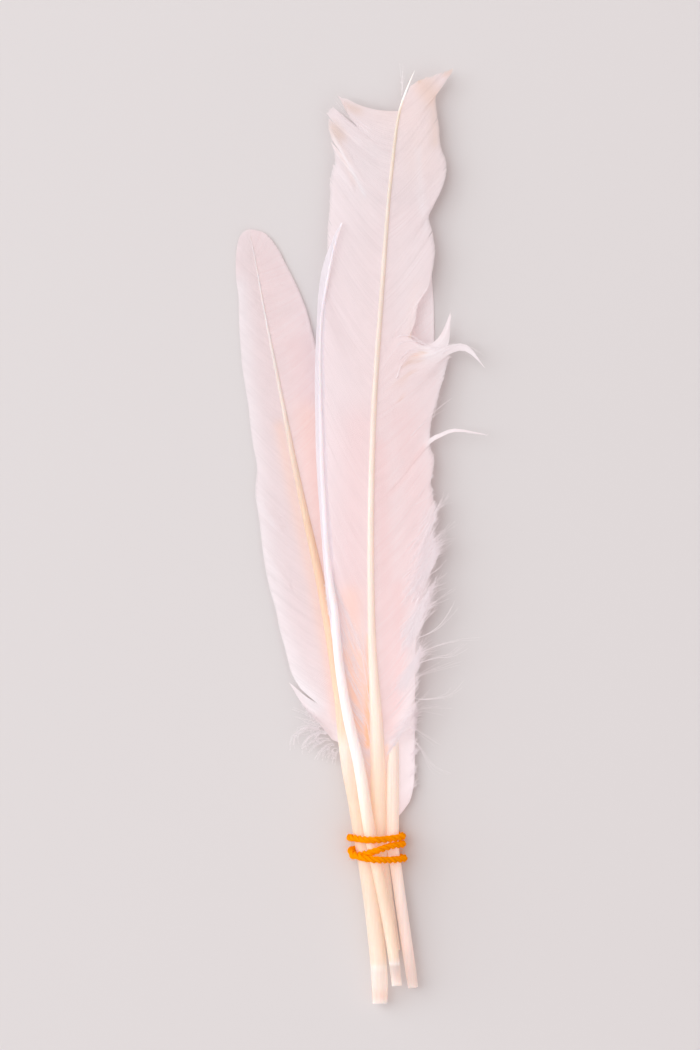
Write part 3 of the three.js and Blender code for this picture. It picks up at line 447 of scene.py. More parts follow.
LEFT = {
    "node": "feather_left",
    "label": "left",
    "seed": 37,
    "tints": ("vane", "vane_edge"),
    "glow": (1.0, 0.85, 0.82),
    # the bright cut end and the pale stop at 0.049, where the pith ends, are painted highlights
    "horn": [
        (0.0, (1, 0.96, 0.94)), (0.006, (0.97, 0.84, 0.79)), (0.013, (0.95, 0.74, 0.67)),
        (0.024, (0.98, 0.87, 0.82)), (0.045, (0.96, 0.86, 0.81)), (0.049, (1, 0.97, 0.93)),
        (0.056, (0.93, 0.8, 0.7)), (0.1, (0.9, 0.77, 0.68)), (0.2, (0.9, 0.73, 0.6)),
        (0.215, (0.89, 0.69, 0.55)), (0.28, (0.86, 0.69, 0.57)), (0.31, (0.88, 0.73, 0.64)),
        (0.335, (0.9, 0.79, 0.71)), (0.36, (0.9, 0.68, 0.53)), (0.45, (0.9, 0.62, 0.46)),
        (0.62, (0.77, 0.57, 0.43)), (0.75, (0.77, 0.66, 0.6)), (0.88, (0.81, 0.71, 0.7)),
    ],
    "ragged": 0.15,
    "loose": None,
    "hairs": 14,
    "fluff": 0.87,
    "curl": 2.4,
    "gleam": 0.12,
    "shade": 0.98,
    "fringes": [[0, 100, 118, 14, 1.6, 0.7, 0], [1, 135, 200, 16, 0.6, 0.8, 0]],
    "folds": [
        [[(-98, 342), (-88, 330), (-80, 322)], 0.2, 4],
        [[(-98, 302), (-84, 280), (-72, 262)], 0.2, 4],
    ],
    "marks": {
        # flush marks: the broad one is pinker dye; the narrow one is painted pink shade on the right vane,
        # where the edge-on feather shades it
        "flush": [[[(-90, 560), (-66, 420), (-34, 230)], 60, 0.12],
                  [[(-62, 500), (-46, 400), (-34, 330), (-22, 230), (-14, 150)], 20, 0.26]],
        # peach marks: painted warm shade along the shaft and on the right vane, where the edge-on feather
        # shades it
        "peach": [[[(-52, 430), (-44, 370), (-30, 290), (-22, 230)], 16, 0.16],
                  [[(-80, 420), (-66, 350), (-48, 270), (-32, 190), (-22, 130)], 7, 0.22]],
        "pale": [[[(-124, 560), (-116, 460), (-103, 330), (-82, 220), (-64, 165)], 12, 0.65],
                 # the first pale line here follows the crest of a fold: a painted highlight
                 [[(-88, 322), (-100, 342)], 3, 0.5], [[(-66, 168), (-45, 140)], 9, 0.9]],
    },
    "hollow": 7.4,
    "slant": 0.5,
    "clear": (0.2, 0.3),
    "pith": (-121, 80),
    "core": (0.95, 0.81, 0.64),
    "shaft": [
        [20, -158, 2.2, 1.45], [19.8, -141, 2.35, 1.62], [19, -121, 2.5, 1.66], [16.3, -91, 2.75, 1.68],
        [12.5, -58, 3.0, 1.68], [8, -26, 3.18, 1.67], [3.8, 0, 3.3, 1.66], [0.5, 19, 3.35, 1.64],
        [-4.2, 47, 3.38, 1.62], [-10, 77, 3.36, 1.6], [-14, 102, 3.3, 1.48], [-18.7, 142, 3.14, 1.28],
        [-25.2, 185, 2.95, 1.14], [-29.4, 211, 2.83, 1.05], [-36.4, 249, 2.65, 0.94],
        [-45.4, 292, 2.45, 0.82], [-57.4, 345, 2.22, 0.68], [-68, 395, 2.02, 0.58],
        [-76, 437, 1.85, 0.45], [-85.5, 485, 1.65, 0.34], [-92.2, 519, 1.48, 0.27],
        [-98, 549, 1.32, 0.21], [-103, 577, 1.12, 0.16], [-107, 599, 0.95, 0.12], [-109.5, 611, 0.85, 0.08],
    ],
    "vanes": [
        {"rise": 0.2, "drop": 0.3, "locks": [
            [[610, [-109.5, 618.5, 0.8]], [604, [-113.5, 618, 0.7]], [596, [-118, 615, 0.5]],
             [586, [-122, 608, 0.4]], [575, [-124, 597, 0.32]], [557, [-124.8, 582, 0.28]],
             [539, [-124, 566, 0.28]], [521, [-122, 550, 0.28]], [503, [-121.7, 534, 0.28]],
             [483, [-121, 515, 0.3]], [463, [-119.7, 497, 0.3]], [441, [-118, 478, 0.32]],
             [419, [-115, 459, 0.34]], [399, [-112, 440, 0.36]], [379, [-110, 421, 0.4]],
             [357, [-107, 400, 0.44]], [337, [-103.5, 381, 0.5]], [319, [-104.5, 366, 0.55]],
             [301, [-105, 352, 0.6]], [285, [-102, 333, 0.65]], [267, [-99.5, 313, 0.7]],
             [249, [-97.5, 295, 0.8]], [231, [-94.5, 276, 0.9]], [213, [-90, 256, 1.0]],
             [197, [-84.5, 237, 1.1]], [181, [-80.5, 217, 1.2]], [165, [-75.5, 199, 1.3]],
             [151, [-72, 185, 1.4]], [139, [-68, 172, 1.5]], [129, [-61, 160, 1.6]]],
            [[128.8, [-37, 139.6, 2.1], [-53, 149, 1.75], [-71, 164, 1.4]],
             [119, [-31, 127, 2.2], [-45, 135, 1.85], [-60, 146, 1.5]],
             [110, [-27, 115, 2.3], [-37, 120, 2.0], [-46, 129, 1.7]],
             [102, [-23, 106, 2.4], [-29, 109, 2.2], [-34, 116, 1.9]]],
        ]},
        # tone: painted light, as this vane tilts away from the lamps and lies in the edge-on feather's
        # shade
        {"rise": 0.2, "drop": 0.3, "tone": 4.0, "locks": [
            [[609, [-108, 618.3, 0.8]], [602, [-103, 617.5, 0.7]], [594, [-96, 615, 0.55]],
             [587, [-89, 608.5, 0.5]], [581, [-81, 597, 0.45]], [575, [-75, 585, 0.45]],
             [563, [-69.5, 574, 0.45]], [547, [-63, 561, 0.5]], [529, [-58, 549, 0.55]],
             [511, [-53.5, 537, 0.6]], [491, [-49, 520, 0.7]], [469, [-44.5, 501, 0.8]],
             [423, [-37, 459, 1.0]], [371, [-29, 409, 1.2]], [317, [-22, 353, 1.4]],
             [261, [-17, 292, 1.7]], [207, [-22.5, 229, 2.0]], [157, [-17, 172, 2.3]],
             [135, [-14, 147, 2.45]]],
        ]},
    ],
    "wisps": [
        [106, [-34, 119, 2.9], [-50, 122, 2.5], [-63, 119, 2.0]],
        [105, [-36, 117, 2.9], [-55, 119, 2.4], [-68, 110, 1.8], [-70, 96, 1.4]],
        [104, [-33, 115, 2.8], [-48, 117, 2.4], [-61, 113, 1.9]],
        [103, [-31, 113, 2.8], [-44, 113, 2.3], [-56, 104, 1.8], [-58, 92, 1.4]],
        [102, [-30, 112, 2.8], [-40, 114, 2.5], [-45, 108, 2.2], [-38, 103, 2.0]],
        [101, [-33, 109, 2.7], [-47, 106, 2.2], [-59, 98, 1.7]],
        [100, [-31, 107, 2.7], [-43, 102, 2.2], [-53, 92, 1.6]],
        [98, [-28, 104, 2.6], [-38, 98, 2.1], [-46, 87, 1.5]],
        [97, [-27, 102, 2.6], [-34, 96, 2.1], [-38, 86, 1.5]],
        [95, [-24, 99, 2.5], [-30, 93, 2.0], [-33, 84, 1.4]],
        [94, [-22, 96, 2.5], [-26, 91, 2.0], [-28, 83, 1.4]],
        [110, [-38, 123, 2.7], [-52, 131, 2.2], [-68, 138, 1.6]],
    ],
}

BACK = {
    "node": "feather_back",
    "label": "back",
    "seed": 41,
    "tints": ("vane", "vane_edge"),
    "glow": (1.0, 0.85, 0.82),
    "horn": [
        (0.0, (0.94, 0.84, 0.81)), (0.01, (0.88, 0.74, 0.71)), (0.12, (0.9, 0.78, 0.74)),
        (0.2, (0.95, 0.78, 0.69)), (0.3, (0.92, 0.8, 0.73)), (0.5, (0.9, 0.78, 0.73)),
        (1.0, (0.88, 0.74, 0.71)),
    ],
    "ragged": 0.25,
    "loose": None,
    "hairs": 6,
    "fluff": 0.95,
    "curl": 1.0,
    # painted light: the back feather's barbs and quill are lit up and glow more, lifting them out of the
    # front feather's shade
    "gleam": 0.16,
    "shade": 1.1,
    "fringes": [[0, 27, 120, 110, 2.0, 0.8, 0]],
    "folds": [],
    "marks": {"pale": [[[(54, 220), (50, 130), (50, 60)], 14, 0.55], [[(74, 560), (74, 490)], 14, 0.6]]},
    "hollow": 4,
    "slant": 0.5,
    "clear": (0.02, 0.06),
    "pith": (-100, 70),
    "core": (0.95, 0.78, 0.71),
    "shaft": [
        [53.2, -142, 2.1, 0.98], [51.8, -131, 2.18, 1.06], [48.8, -111, 2.3, 1.1], [45.1, -85, 2.45, 1.12],
        [40.9, -56, 2.6, 1.13], [36.6, -25, 2.73, 1.14], [32.9, 0, 2.8, 1.18], [32.4, 25, 2.82, 1.3],
        [32.4, 52, 2.8, 1.34], [32.6, 87, 2.7, 1.27], [33.2, 117, 2.6, 1.1], [34.3, 147, 2.48, 1.0],
        [36.3, 197, 2.28, 0.88], [38.6, 257, 2.07, 0.78], [41.4, 327, 1.85, 0.68],
        [44.6, 397, 1.62, 0.58], [48, 477, 1.36, 0.48], [51, 547, 1.1, 0.38], [53.3, 602, 0.85, 0.26],
        [54.3, 627, 0.72, 0.16],
    ],
    "vanes": [
        {"rise": 0.2, "drop": 0.3, "locks": [
            [[622, [55, 637, 0.65]], [615, [60, 634, 0.55]], [607, [64, 625, 0.45]],
             [597, [68, 611, 0.4]], [581, [70, 596, 0.35]],
             [561, [71.3, 580, 0.33]], [543, [72.8, 562, 0.3]], [523, [74, 544, 0.3]],
             [502, [74.5, 525, 0.3]], [480, [74.3, 504, 0.3]], [449, [72.5, 475, 0.32]],
             [415, [70.5, 443, 0.35]], [381, [68.5, 411, 0.4]], [345, [67, 377, 0.45]],
             [309, [65.5, 342, 0.5]], [274, [63.5, 307, 0.6]], [239, [61, 272, 0.7]],
             [205, [58, 235, 0.85]], [173, [56, 202, 1.0]], [140, [55.2, 167, 1.2]],
             [109, [55, 135, 1.35]], [79, [55, 105, 1.5]], [55, [55, 79, 1.6]], [41, [53.5, 60, 1.7]],
             [32, [50, 46, 1.8]], [27, [44, 37, 2.0]]],
        ]},
        {"rise": 0.2, "drop": 0.3, "locks": [
            [[621, [53, 637.5, 0.65]], [613, [46.5, 636, 0.6]], [603, [39, 631, 0.5]],
             [591, [30, 620, 0.45]], [571, [22, 604, 0.4]],
             [547, [15, 583, 0.4]], [517, [9, 556, 0.4]], [481, [4, 522, 0.45]], [399, [-3, 441, 0.55]],
             [315, [-5, 353, 0.7]], [275, [-4, 309, 0.8]], [239, [-1.5, 267, 0.95]], [209, [3, 230, 1.1]],
             [185, [10, 200, 1.3]], [167, [19, 179, 1.6]]],
        ]},
    ],
    "wisps": [],
}

FEATHERS = (FRONT, EDGE_ON, LEFT, BACK)
MARKS = ("flush", "peach", "pale", "stain")

# ---------------------------------------------------------------- the tie

# The cord's way round the quills: [turn, y, lift in mm]. A whole turn starts at the right-hand side
# and goes over the top first; each end is tucked flat against the quills underneath. The last
# pass rides up over the one before it on the left.
CORD_ROUTE = [
    [-0.3, 14.5, 0], [0, 11, 0], [0.2, 9, 0], [0.35, 9.2, 0], [0.5, 10, 0], [0.75, 6.5, 0],
    [1, 3.2, 0], [1.12, 2.6, 0], [1.25, -1, 0], [1.38, -5.5, 0], [1.5, -8, 0], [1.75, -9.5, 0],
    [2, -11, 0], [2.15, -11.6, 0], [2.28, -10.5, 0.3], [2.38, -8, 1.25], [2.5, -3.5, 0.3],
    [2.6, -2.4, 0], [2.75, -2, 0],
]

# ---------------------------------------------------------------- settings


class BunchSizes(PropertyGroup):
    """Sizes of the barbs, the down and the cord's yarns."""

    barb_pitch: FloatProperty(
        name="Barb pitch", description="Distance from one barb to the next along the shaft",
        default=0.00038, min=0.0002, max=0.002, unit="LENGTH")
    barb_cover: FloatProperty(
        name="Barb cover", description="How wide a barb is, as a share of the gap it has to close",
        default=1.45, min=0.5, max=2.0)
    barb_ridge: FloatProperty(
        name="Barb ridge", description="Height of the ridge along the middle of a barb",
        default=0.000022, min=0.0, max=0.0005, unit="LENGTH")
    down_radius: FloatProperty(
        name="Down radius", description="Radius of a downy strand at its root",
        default=0.000035, min=0.00001, max=0.0003, unit="LENGTH")
    yarn_count: IntProperty(
        name="Yarns in a strand", description="Yarns twisted together in each strand of the cord",
        default=4, min=2, max=8)


class BunchColours(PropertyGroup):
    """Colours of the feathers, the cord and the floor."""

    vane: FloatVectorProperty(
        name="Vane", description="Dyed barbs", subtype="COLOR", size=3, min=0, max=1,
        default=(0.91, 0.865, 0.89))
    vane_edge: FloatVectorProperty(
        name="Vane edge", description="Barbs toward the edge of a vane", subtype="COLOR", size=3,
        min=0, max=1, default=(0.91, 0.89, 0.925))
    # Pale is barbs that took little dye, and also painted highlights along some fold crests.
    pale: FloatVectorProperty(
        name="Pale barbs", description="Barbs that took little dye", subtype="COLOR", size=3,
        min=0, max=1, default=(0.98, 0.95, 0.98))
    # The peach colour is painted warm shade in folds, gaps and beside the shafts, and a warmer dye near the
    # front feather's tip.
    peach: FloatVectorProperty(
        name="Peach", description="Barbs that took the dye warmer", subtype="COLOR", size=3,
        min=0, max=1, default=(0.95, 0.54, 0.27))
    # The flush colour is pinker dye, and also painted pink shade in creases, beside the shafts and under
    # neighbouring feathers.
    flush: FloatVectorProperty(
        name="Flush", description="Barbs that took more dye", subtype="COLOR", size=3,
        min=0, max=1, default=(0.92, 0.66, 0.66))
    # The stain colour is brown marks, and also painted shade in the grooves of folds.
    stain: FloatVectorProperty(
        name="Stain", description="Brown natural marks", subtype="COLOR", size=3,
        min=0, max=1, default=(0.74, 0.54, 0.36))
    cord: FloatVectorProperty(
        name="Cord", description="Twisted cord", subtype="COLOR", size=3,
        min=0, max=1, default=(1.0, 0.27, 0.0))
    floor: FloatVectorProperty(
        name="Floor", description="Surface the bunch lies on", subtype="COLOR", size=3,
        min=0, max=1, default=(0.7, 0.67, 0.67))


# ---------------------------------------------------------------- finishes


class Socket:
    """A shader value that Python's operators extend with Math nodes."""

    def __init__(self, finish, output):
        self.finish = finish
        self.output = output

    def maths(self, operation, *values):
        return self.finish.node("ShaderNodeMath", {"operation": operation}, values)

    def __add__(self, other):
        return self.maths("ADD", self, other)

    def __sub__(self, other):
        return self.maths("SUBTRACT", self, other)

    def __rsub__(self, other):
        return self.maths("SUBTRACT", other, self)

    def __mul__(self, other):
        return self.maths("MULTIPLY", self, other)

    def __pow__(self, other):
        return self.maths("POWER", self, other)


class Finish:
    """A material whose nodes are added one call at a time."""

    def __init__(self, name):
        self.material = bpy.data.materials.new(name)
        self.material.use_nodes = True
        self.tree = self.material.node_tree
        self.tree.nodes.clear()

    def node(self, kind, settings=None, values=(), output=0):
        """Adds a node, gives its inputs numbers or links, and hands back one of its outputs."""
        node = self.tree.nodes.new(kind)
        for key, value in (settings or {}).items():
            if key == "stops":
                self.set_stops(node.color_ramp, value)
            else:
                setattr(node, key, value)
        pairs = values.items() if isinstance(values, dict) else enumerate(values)
        for key, value in pairs:
            if isinstance(value, Socket):
                self.tree.links.new(value.output, node.inputs[key])
            else:
                node.inputs[key].default_value = value
        return Socket(self, node.outputs[output])

    @staticmethod
    def set_stops(ramp, stops):
        while len(ramp.elements) < len(stops):
            ramp.elements.new(1.0)
        for element, (place, colour) in zip(ramp.elements, stops):
            element.position = place
            element.color = (*colour, 1)

    def attribute(self, name):
        """The number that a mesh carries at each point under this name."""
        return self.node("ShaderNodeAttribute", {"attribute_name": name}, output=2)

    def mix(self, share, first, second):
        """A colour between two, the second where the share is 1."""
        values = {0: share, 6: first, 7: second}  # the sockets that mix colours
        return self.node("ShaderNodeMix", {"data_type": "RGBA"}, values, output=2)

    def scaled(self, colour, factor):
        return self.node("ShaderNodeVectorMath", {"operation": "SCALE"}, {0: colour, 3: factor})

    def object_place(self):
        return self.node("ShaderNodeTexCoord", output=3)

    def noise(self, vector, scale, detail=2.0):
        return self.node("ShaderNodeTexNoise", {}, {"Vector": vector, "Scale": scale, "Detail": detail})

    def end(self, shader):
        surface = self.tree.nodes.new("ShaderNodeOutputMaterial")
        self.tree.links.new(shader.output, surface.inputs["Surface"])
        return self.material


def rgba(colour):
    return (*colour, 1)


def barb_finish(name, inner, outer, colours, glow, gleam, shade):
    """Barbs: fine streaks along them, dye that varies, painted shade and highlights in the marks, a painted
    glow, and light coming through.
    """
    finish = Finish(name)
    along, lane, reach = (finish.attribute(key) for key in ("along", "lane", "reach"))
    streaks = finish.node("ShaderNodeCombineXYZ", values=(lane * BARB_STREAKS, along * 5, 0))
    patches = finish.node("ShaderNodeCombineXYZ", values=(lane * BARB_PATCHES, along * 2, 4))
    streak = finish.noise(streaks, 1.0)
    patch = finish.noise(patches, 1.0)
    colour = finish.mix(along ** 0.8, rgba(inner), rgba(outer))
    for kind in MARKS:
        colour = finish.mix(finish.attribute(kind), colour, rgba(getattr(colours, kind)))
    light = (streak - 0.5) * 0.08 + (patch - 0.5) * 0.07 + finish.attribute("tone") * 0.025
    pale = finish.attribute("pale")
    light = light - lane * 0.8 - pale * 0.08 + shade
    colour = finish.scaled(colour, light)
    phase = reach * BARBULES + finish.attribute("across") * 1.5
    barbules = phase.maths("SINE", phase)
    bump = finish.node("ShaderNodeBump", values={
        "Strength": 0.25, "Distance": 0.00002, "Height": barbules})
    face = finish.node("ShaderNodeBsdfPrincipled", values={
        "Base Color": colour, "Roughness": 0.66, "Normal": bump,
        # the glow is stronger where the peach marks paint warm shade
        "Emission Color": finish.scaled(colour, finish.attribute("peach") * 2 + 1.0),
        # gleam: painted glow of the barbs, softening the shade between them
        "Emission Strength": gleam,
        "Sheen Weight": 0.2, "Sheen Roughness": 0.45, "Specular IOR Level": 0.3})
    through = finish.node("ShaderNodeBsdfTranslucent", values={"Color": rgba(glow)})
    share = BARB_THROUGH - pale * 0.2
    return finish.end(finish.node("ShaderNodeMixShader", values=(share, face, through)))


def quill_finish(name, stops, gleam):
    """Horny quill: a colour for each stretch from the cut end to the tip, with fine fibres and a painted
    glow of its own.
    """
    finish = Finish(name)
    place = finish.object_place()
    fibre, streak, cloud = (
        finish.noise(finish.node("ShaderNodeMapping", values={"Vector": place, "Scale": scale}), 1.0)
        for scale in (HORN_FIBRES, HORN_STREAKS, HORN_CLOUDS))
    colour = finish.node("ShaderNodeValToRGB", {"stops": stops}, [finish.attribute("along")])
    light = (fibre - 0.5) * 0.2 + (streak - 0.5) * 0.2 + (cloud - 0.5) * 0.08 + 0.95
    colour = finish.scaled(colour, light)
    bump = finish.node("ShaderNodeBump", values={
        "Strength": 0.5, "Distance": 0.00004, "Height": fibre + streak * 2})
    face = finish.node("ShaderNodeBsdfPrincipled", values={
        "Base Color": colour, "Roughness": (cloud - 0.5) * 0.2 + 0.5, "Normal": bump,
        "Alpha": 1 - finish.attribute("clear") * 0.4,
        "Subsurface Weight": 0.5, "Subsurface Radius": (1.0, 0.5, 0.35), "Subsurface Scale": 0.0025,
        # the horn glows by itself: painted glow that softens its shade
        "Emission Color": colour, "Emission Strength": gleam, "Specular IOR Level": 0.28})
    through = finish.node("ShaderNodeBsdfTranslucent", values={"Color": HORN_GLOW})
    return finish.end(finish.node("ShaderNodeMixShader", values=(HORN_THROUGH, face, through)))


def cord_finish(name, colour):
    """Cotton yarn: fibres along it, some paler than others."""
    finish = Finish(name)
    reach, tone = finish.attribute("reach"), finish.attribute("tone")
    across = finish.attribute("across")
    fibres = finish.node("ShaderNodeCombineXYZ", values=(
        across * 5 + reach * 1800, reach * 900, tone * 9))
    fibre = finish.noise(fibres, 1.0, 3.0)
    base = finish.mix(fibre, rgba([part * YARN_SHADE for part in colour]), rgba(YARN_LIGHT))
    base = finish.scaled(base, tone * 0.14 + 0.93)
    bump = finish.node("ShaderNodeBump", values={
        "Strength": 0.6, "Distance": 0.00004, "Height": fibre})
    face = finish.node("ShaderNodeBsdfPrincipled", values={
        "Base Color": base, "Roughness": 0.9, "Normal": bump,
        # the cord glows by itself: painted glow that brightens its shade
        "Emission Color": base, "Emission Strength": 0.2, "Specular IOR Level": 0.02})
    return finish.end(face)


def floor_finish(name, colour):
    """A smooth pale surface with the faintest unevenness."""
    finish = Finish(name)
    place = finish.object_place()
    cloud = finish.noise(place, 6.0)
    face = finish.node("ShaderNodeBsdfPrincipled", values={
        "Base Color": finish.scaled(list(colour), (cloud - 0.5) * 0.02 + 1.0),
        "Roughness": 0.9, "Specular IOR Level": 0.1})
    return finish.end(face)


# ---------------------------------------------------------------- curves


def place(points):
    """Drawing steps and millimetres to metres."""
    points = np.asarray(points, float)
    return np.stack([
        (points[..., 0] - MIDDLE_X) * STEP,
        (points[..., 1] - MIDDLE_Y) * STEP,
        points[..., 2] * MILLIMETRE], axis=-1)


def unit(vectors):
    return vectors / np.maximum(np.linalg.norm(vectors, axis=-1, keepdims=True), 1e-12)


def smooth_rows(rows, column, at):
    """Smooth values at places of a table whose rows rise in the column given."""
    rows = np.asarray(rows, float)
    at = np.atleast_1d(np.asarray(at, float))
    last = len(rows) - 1
    index = np.minimum(np.searchsorted(rows[1:, column], at), last - 1)
    before, start = rows[np.maximum(index - 1, 0)], rows[index]
    end, after = rows[index + 1], rows[np.minimum(index + 2, last)]
    span = (end - start)[:, [column]]
    part = (at[:, None] - start[:, [column]]) / span
    slope_start = (end - before) / (end - before)[:, [column]]
    slope_end = (after - start) / (after - start)[:, [column]]
    return (start * (1 + 2 * part) * (1 - part) ** 2 + slope_start * span * part * (1 - part) ** 2
            + end * part ** 2 * (3 - 2 * part) - slope_end * span * part ** 2 * (1 - part))


def curve_through(points, parts):
    """Points on the smooth curve through all the points given."""
    points = np.asarray(points, float)
    last = len(points) - 1
    index = np.clip(np.floor(parts * last).astype(int), 0, last - 1)
    t = (parts * last - index)[:, None]
    a, b = points[np.maximum(index - 1, 0)], points[index]
    c, d = points[index + 1], points[np.minimum(index + 2, last)]
    return 0.5 * (2 * b + (c - a) * t + (2 * a - 5 * b + 4 * c - d) * t ** 2
                  + (3 * b - a - 3 * c + d) * t ** 3)


def barb_path(feather, rise, drop, barb, parts):
    """The line of one barb from the shaft to its tip, in drawing steps and millimetres."""
    x, y, height, radius = smooth_rows(feather["shaft"], 1, barb[0])[0]
    root = np.array([x, y, height + rise * radius])
    tip = np.array(barb[-1], float)
    if len(barb) > 2:
        return curve_through([root, *barb[1:]], parts)
    turn = root + (tip - root) * (BARB_REACH, BARB_LIFT, drop)
    t = parts[:, None]
    return root * (1 - t) ** 2 + turn * 2 * t * (1 - t) + tip * t ** 2


def nearness(points, line, width):
    """1 on a line across the plan, falling smoothly to nothing a few widths away."""
    line = np.asarray(line, float)
    nearest = np.full(points.shape[:-1], np.inf)
    for start, end in zip(line[:-1], line[1:]):
        along = end - start
        part = np.clip(((points[..., :2] - start) @ along) / (along @ along), 0, 1)
        away = points[..., :2] - start - part[..., None] * along
        nearest = np.minimum(nearest, np.linalg.norm(away, axis=-1))
    return np.exp(-(nearest / width) ** 2)


# ---------------------------------------------------------------- meshes


def add_mesh(name, corners, faces, values, uv, material):
    """One joined mesh from arrays, with a number at each corner point for every value named."""
    mesh = bpy.data.meshes.new(name)
    mesh.from_pydata(corners.tolist(), [], faces)
    for key, numbers in values.items():
        mesh.attributes.new(key, "FLOAT", "POINT").data.foreach_set("value", numbers.ravel())
    layer = mesh.uv_layers.new(name="OFBake")
    layer.data.foreach_set("uv", uv.ravel())
    mesh.materials.append(material)
    mesh.validate()
    piece = bpy.data.objects.new(name, mesh)
    bpy.context.scene.collection.objects.link(piece)
    return piece


def strip_faces(count, stations, sides):
    """Faces and UV places of many closed strips: rings of equal size, joined in order and capped.

    Every strip has a cell of the map: its sides stand in the lower part, one column each, and its
    two caps are thin bands above them.
    """
    rows = max(1, round((count * sides / 90) ** 0.5))
    columns = -(-count // rows)
    faces, uv = [], []
    wide, tall = 1 / (columns * sides), 1 / rows
    for strip in range(count):
        first = strip * stations * sides
        left, low = (strip % columns) * sides * wide, (strip // columns) * tall
        for station in range(stations - 1):
            bottom = low + tall * (CELL_FOOT + CELL_SIDES * station / (stations - 1))
            top = low + tall * (CELL_FOOT + CELL_SIDES * (station + 1) / (stations - 1))
            for side in range(sides):
                here = first + station * sides + side
                beside = first + station * sides + (side + 1) % sides
                faces.append((here, beside, beside + sides, here + sides))
                u0, u1 = (left + wide * (side + edge) for edge in CELL_EDGES)
                uv += [u0, bottom, u1, bottom, u1, top, u0, top]
        for ring, base in zip((0, stations - 1), CELL_CAPS):
            order = range(sides) if ring else range(sides - 1, -1, -1)
            faces.append(tuple(first + ring * sides + side for side in order))
            for side in order:
                uv += [left + wide * (side + 0.5), low + tall * (base + CELL_CAP * (side % 2))]
    return faces, np.array(uv)


def at_each(numbers, stations):
    """One number for each strip, the same at all its stations."""
    return np.broadcast_to(numbers[:, None, None], (len(numbers), stations, 1))


def run_along(paths):
    """How far along its strip each station lies, in metres."""
    steps = np.linalg.norm(np.diff(paths, axis=1, prepend=paths[:, :1]), axis=-1)
    return np.cumsum(steps, axis=1)[..., None]


def strips(name, rings, values, material):
    """Closed strips from rings[strip, station, side, 3]."""
    count, stations, sides, _ = rings.shape
    faces, uv = strip_faces(count, stations, sides)
    full = {key: np.broadcast_to(numbers, rings.shape[:3]) for key, numbers in values.items()}
    return add_mesh(name, rings.reshape(-1, 3), faces, full, uv, material)


def tubes(name, paths, radii, sides, values, material):
    """Round strands along paths[strand, station, 3], as thick as radii[strand, station]."""
    tangent = unit(np.gradient(paths, axis=1))
    pick = np.where(np.abs(tangent[:, 0, [2]]) < 0.8, [[0.0, 0, 1]], [[1.0, 0, 0]])
    across = [unit(np.cross(tangent[:, 0], pick))]
    for station in range(1, paths.shape[1]):
        here = tangent[:, station]
        across.append(unit(across[-1] - (across[-1] * here).sum(-1, keepdims=True) * here))
    across = np.stack(across, axis=1)
    up = np.cross(across, tangent)
    angle = np.arange(sides) * 2 * np.pi / sides
    ring = across[:, :, None] * np.cos(angle)[:, None] + up[:, :, None] * np.sin(angle)[:, None]
    rings = paths[:, :, None] + ring * radii[:, :, None, None]
    # rings run so that the faces point outwards
    return strips(name, rings[:, :, ::-1], values, material)


# ---------------------------------------------------------------- vanes


def lock_rows(feather, vane, lock):
    """The barbs that were written down for one lock, each as one row of places, roots rising."""
    parts = np.linspace(0, 1, BARB_PARTS + 1)
    rows = [[barb[0], *barb_path(feather, vane["rise"], vane["drop"], barb, parts).ravel()]
            for barb in reversed(lock)]
    return np.array(rows)


def barbs_at(rows, roots):
    """Barb lines growing from places of the shaft, read smoothly off a lock's rows."""
    return smooth_rows(rows, 0, roots)[:, 1:].reshape(len(roots), -1, 3)


def even_roots(rows, pitch):
    """Root places of a lock's barbs, close enough to leave no gap at the roots or at the tips."""
    roots = np.diff(rows[:, 0]) * STEP
    tips = np.linalg.norm(np.diff(place(rows[:, -3:]), axis=0), axis=-1)
    run = np.concatenate([[0], np.cumsum(np.maximum(roots, tips * TIP_WEIGHT) / pitch)])
    return np.interp(np.linspace(0, run[-1], max(4, round(run[-1]))), run, rows[:, 0])


def gathered(count, dice):
    """For each barb of a lock, how far it leans to the middle of its group, and its group's lift."""
    lean, lift = np.zeros(count), np.zeros(count)
    start = 0
    while start < count:
        size = int(dice.integers(*GROUP_SIZES))
        here = np.arange(start, min(start + size, count))
        lean[here] = -(here - here.mean()) / max(len(here), 2) * 2
        lift[here] = dice.normal()
        start += size
    return lean, lift


def looseness(feather, index, roots):
    """How far each barb of a vane has come apart from those beside it, from 0 to 1."""
    if not feather["loose"] or feather["loose"][0] != index:
        return np.zeros(len(roots))
    highest = feather["loose"][1]
    return np.interp(roots, [highest - LOOSE_FADE, highest], [1, 0])


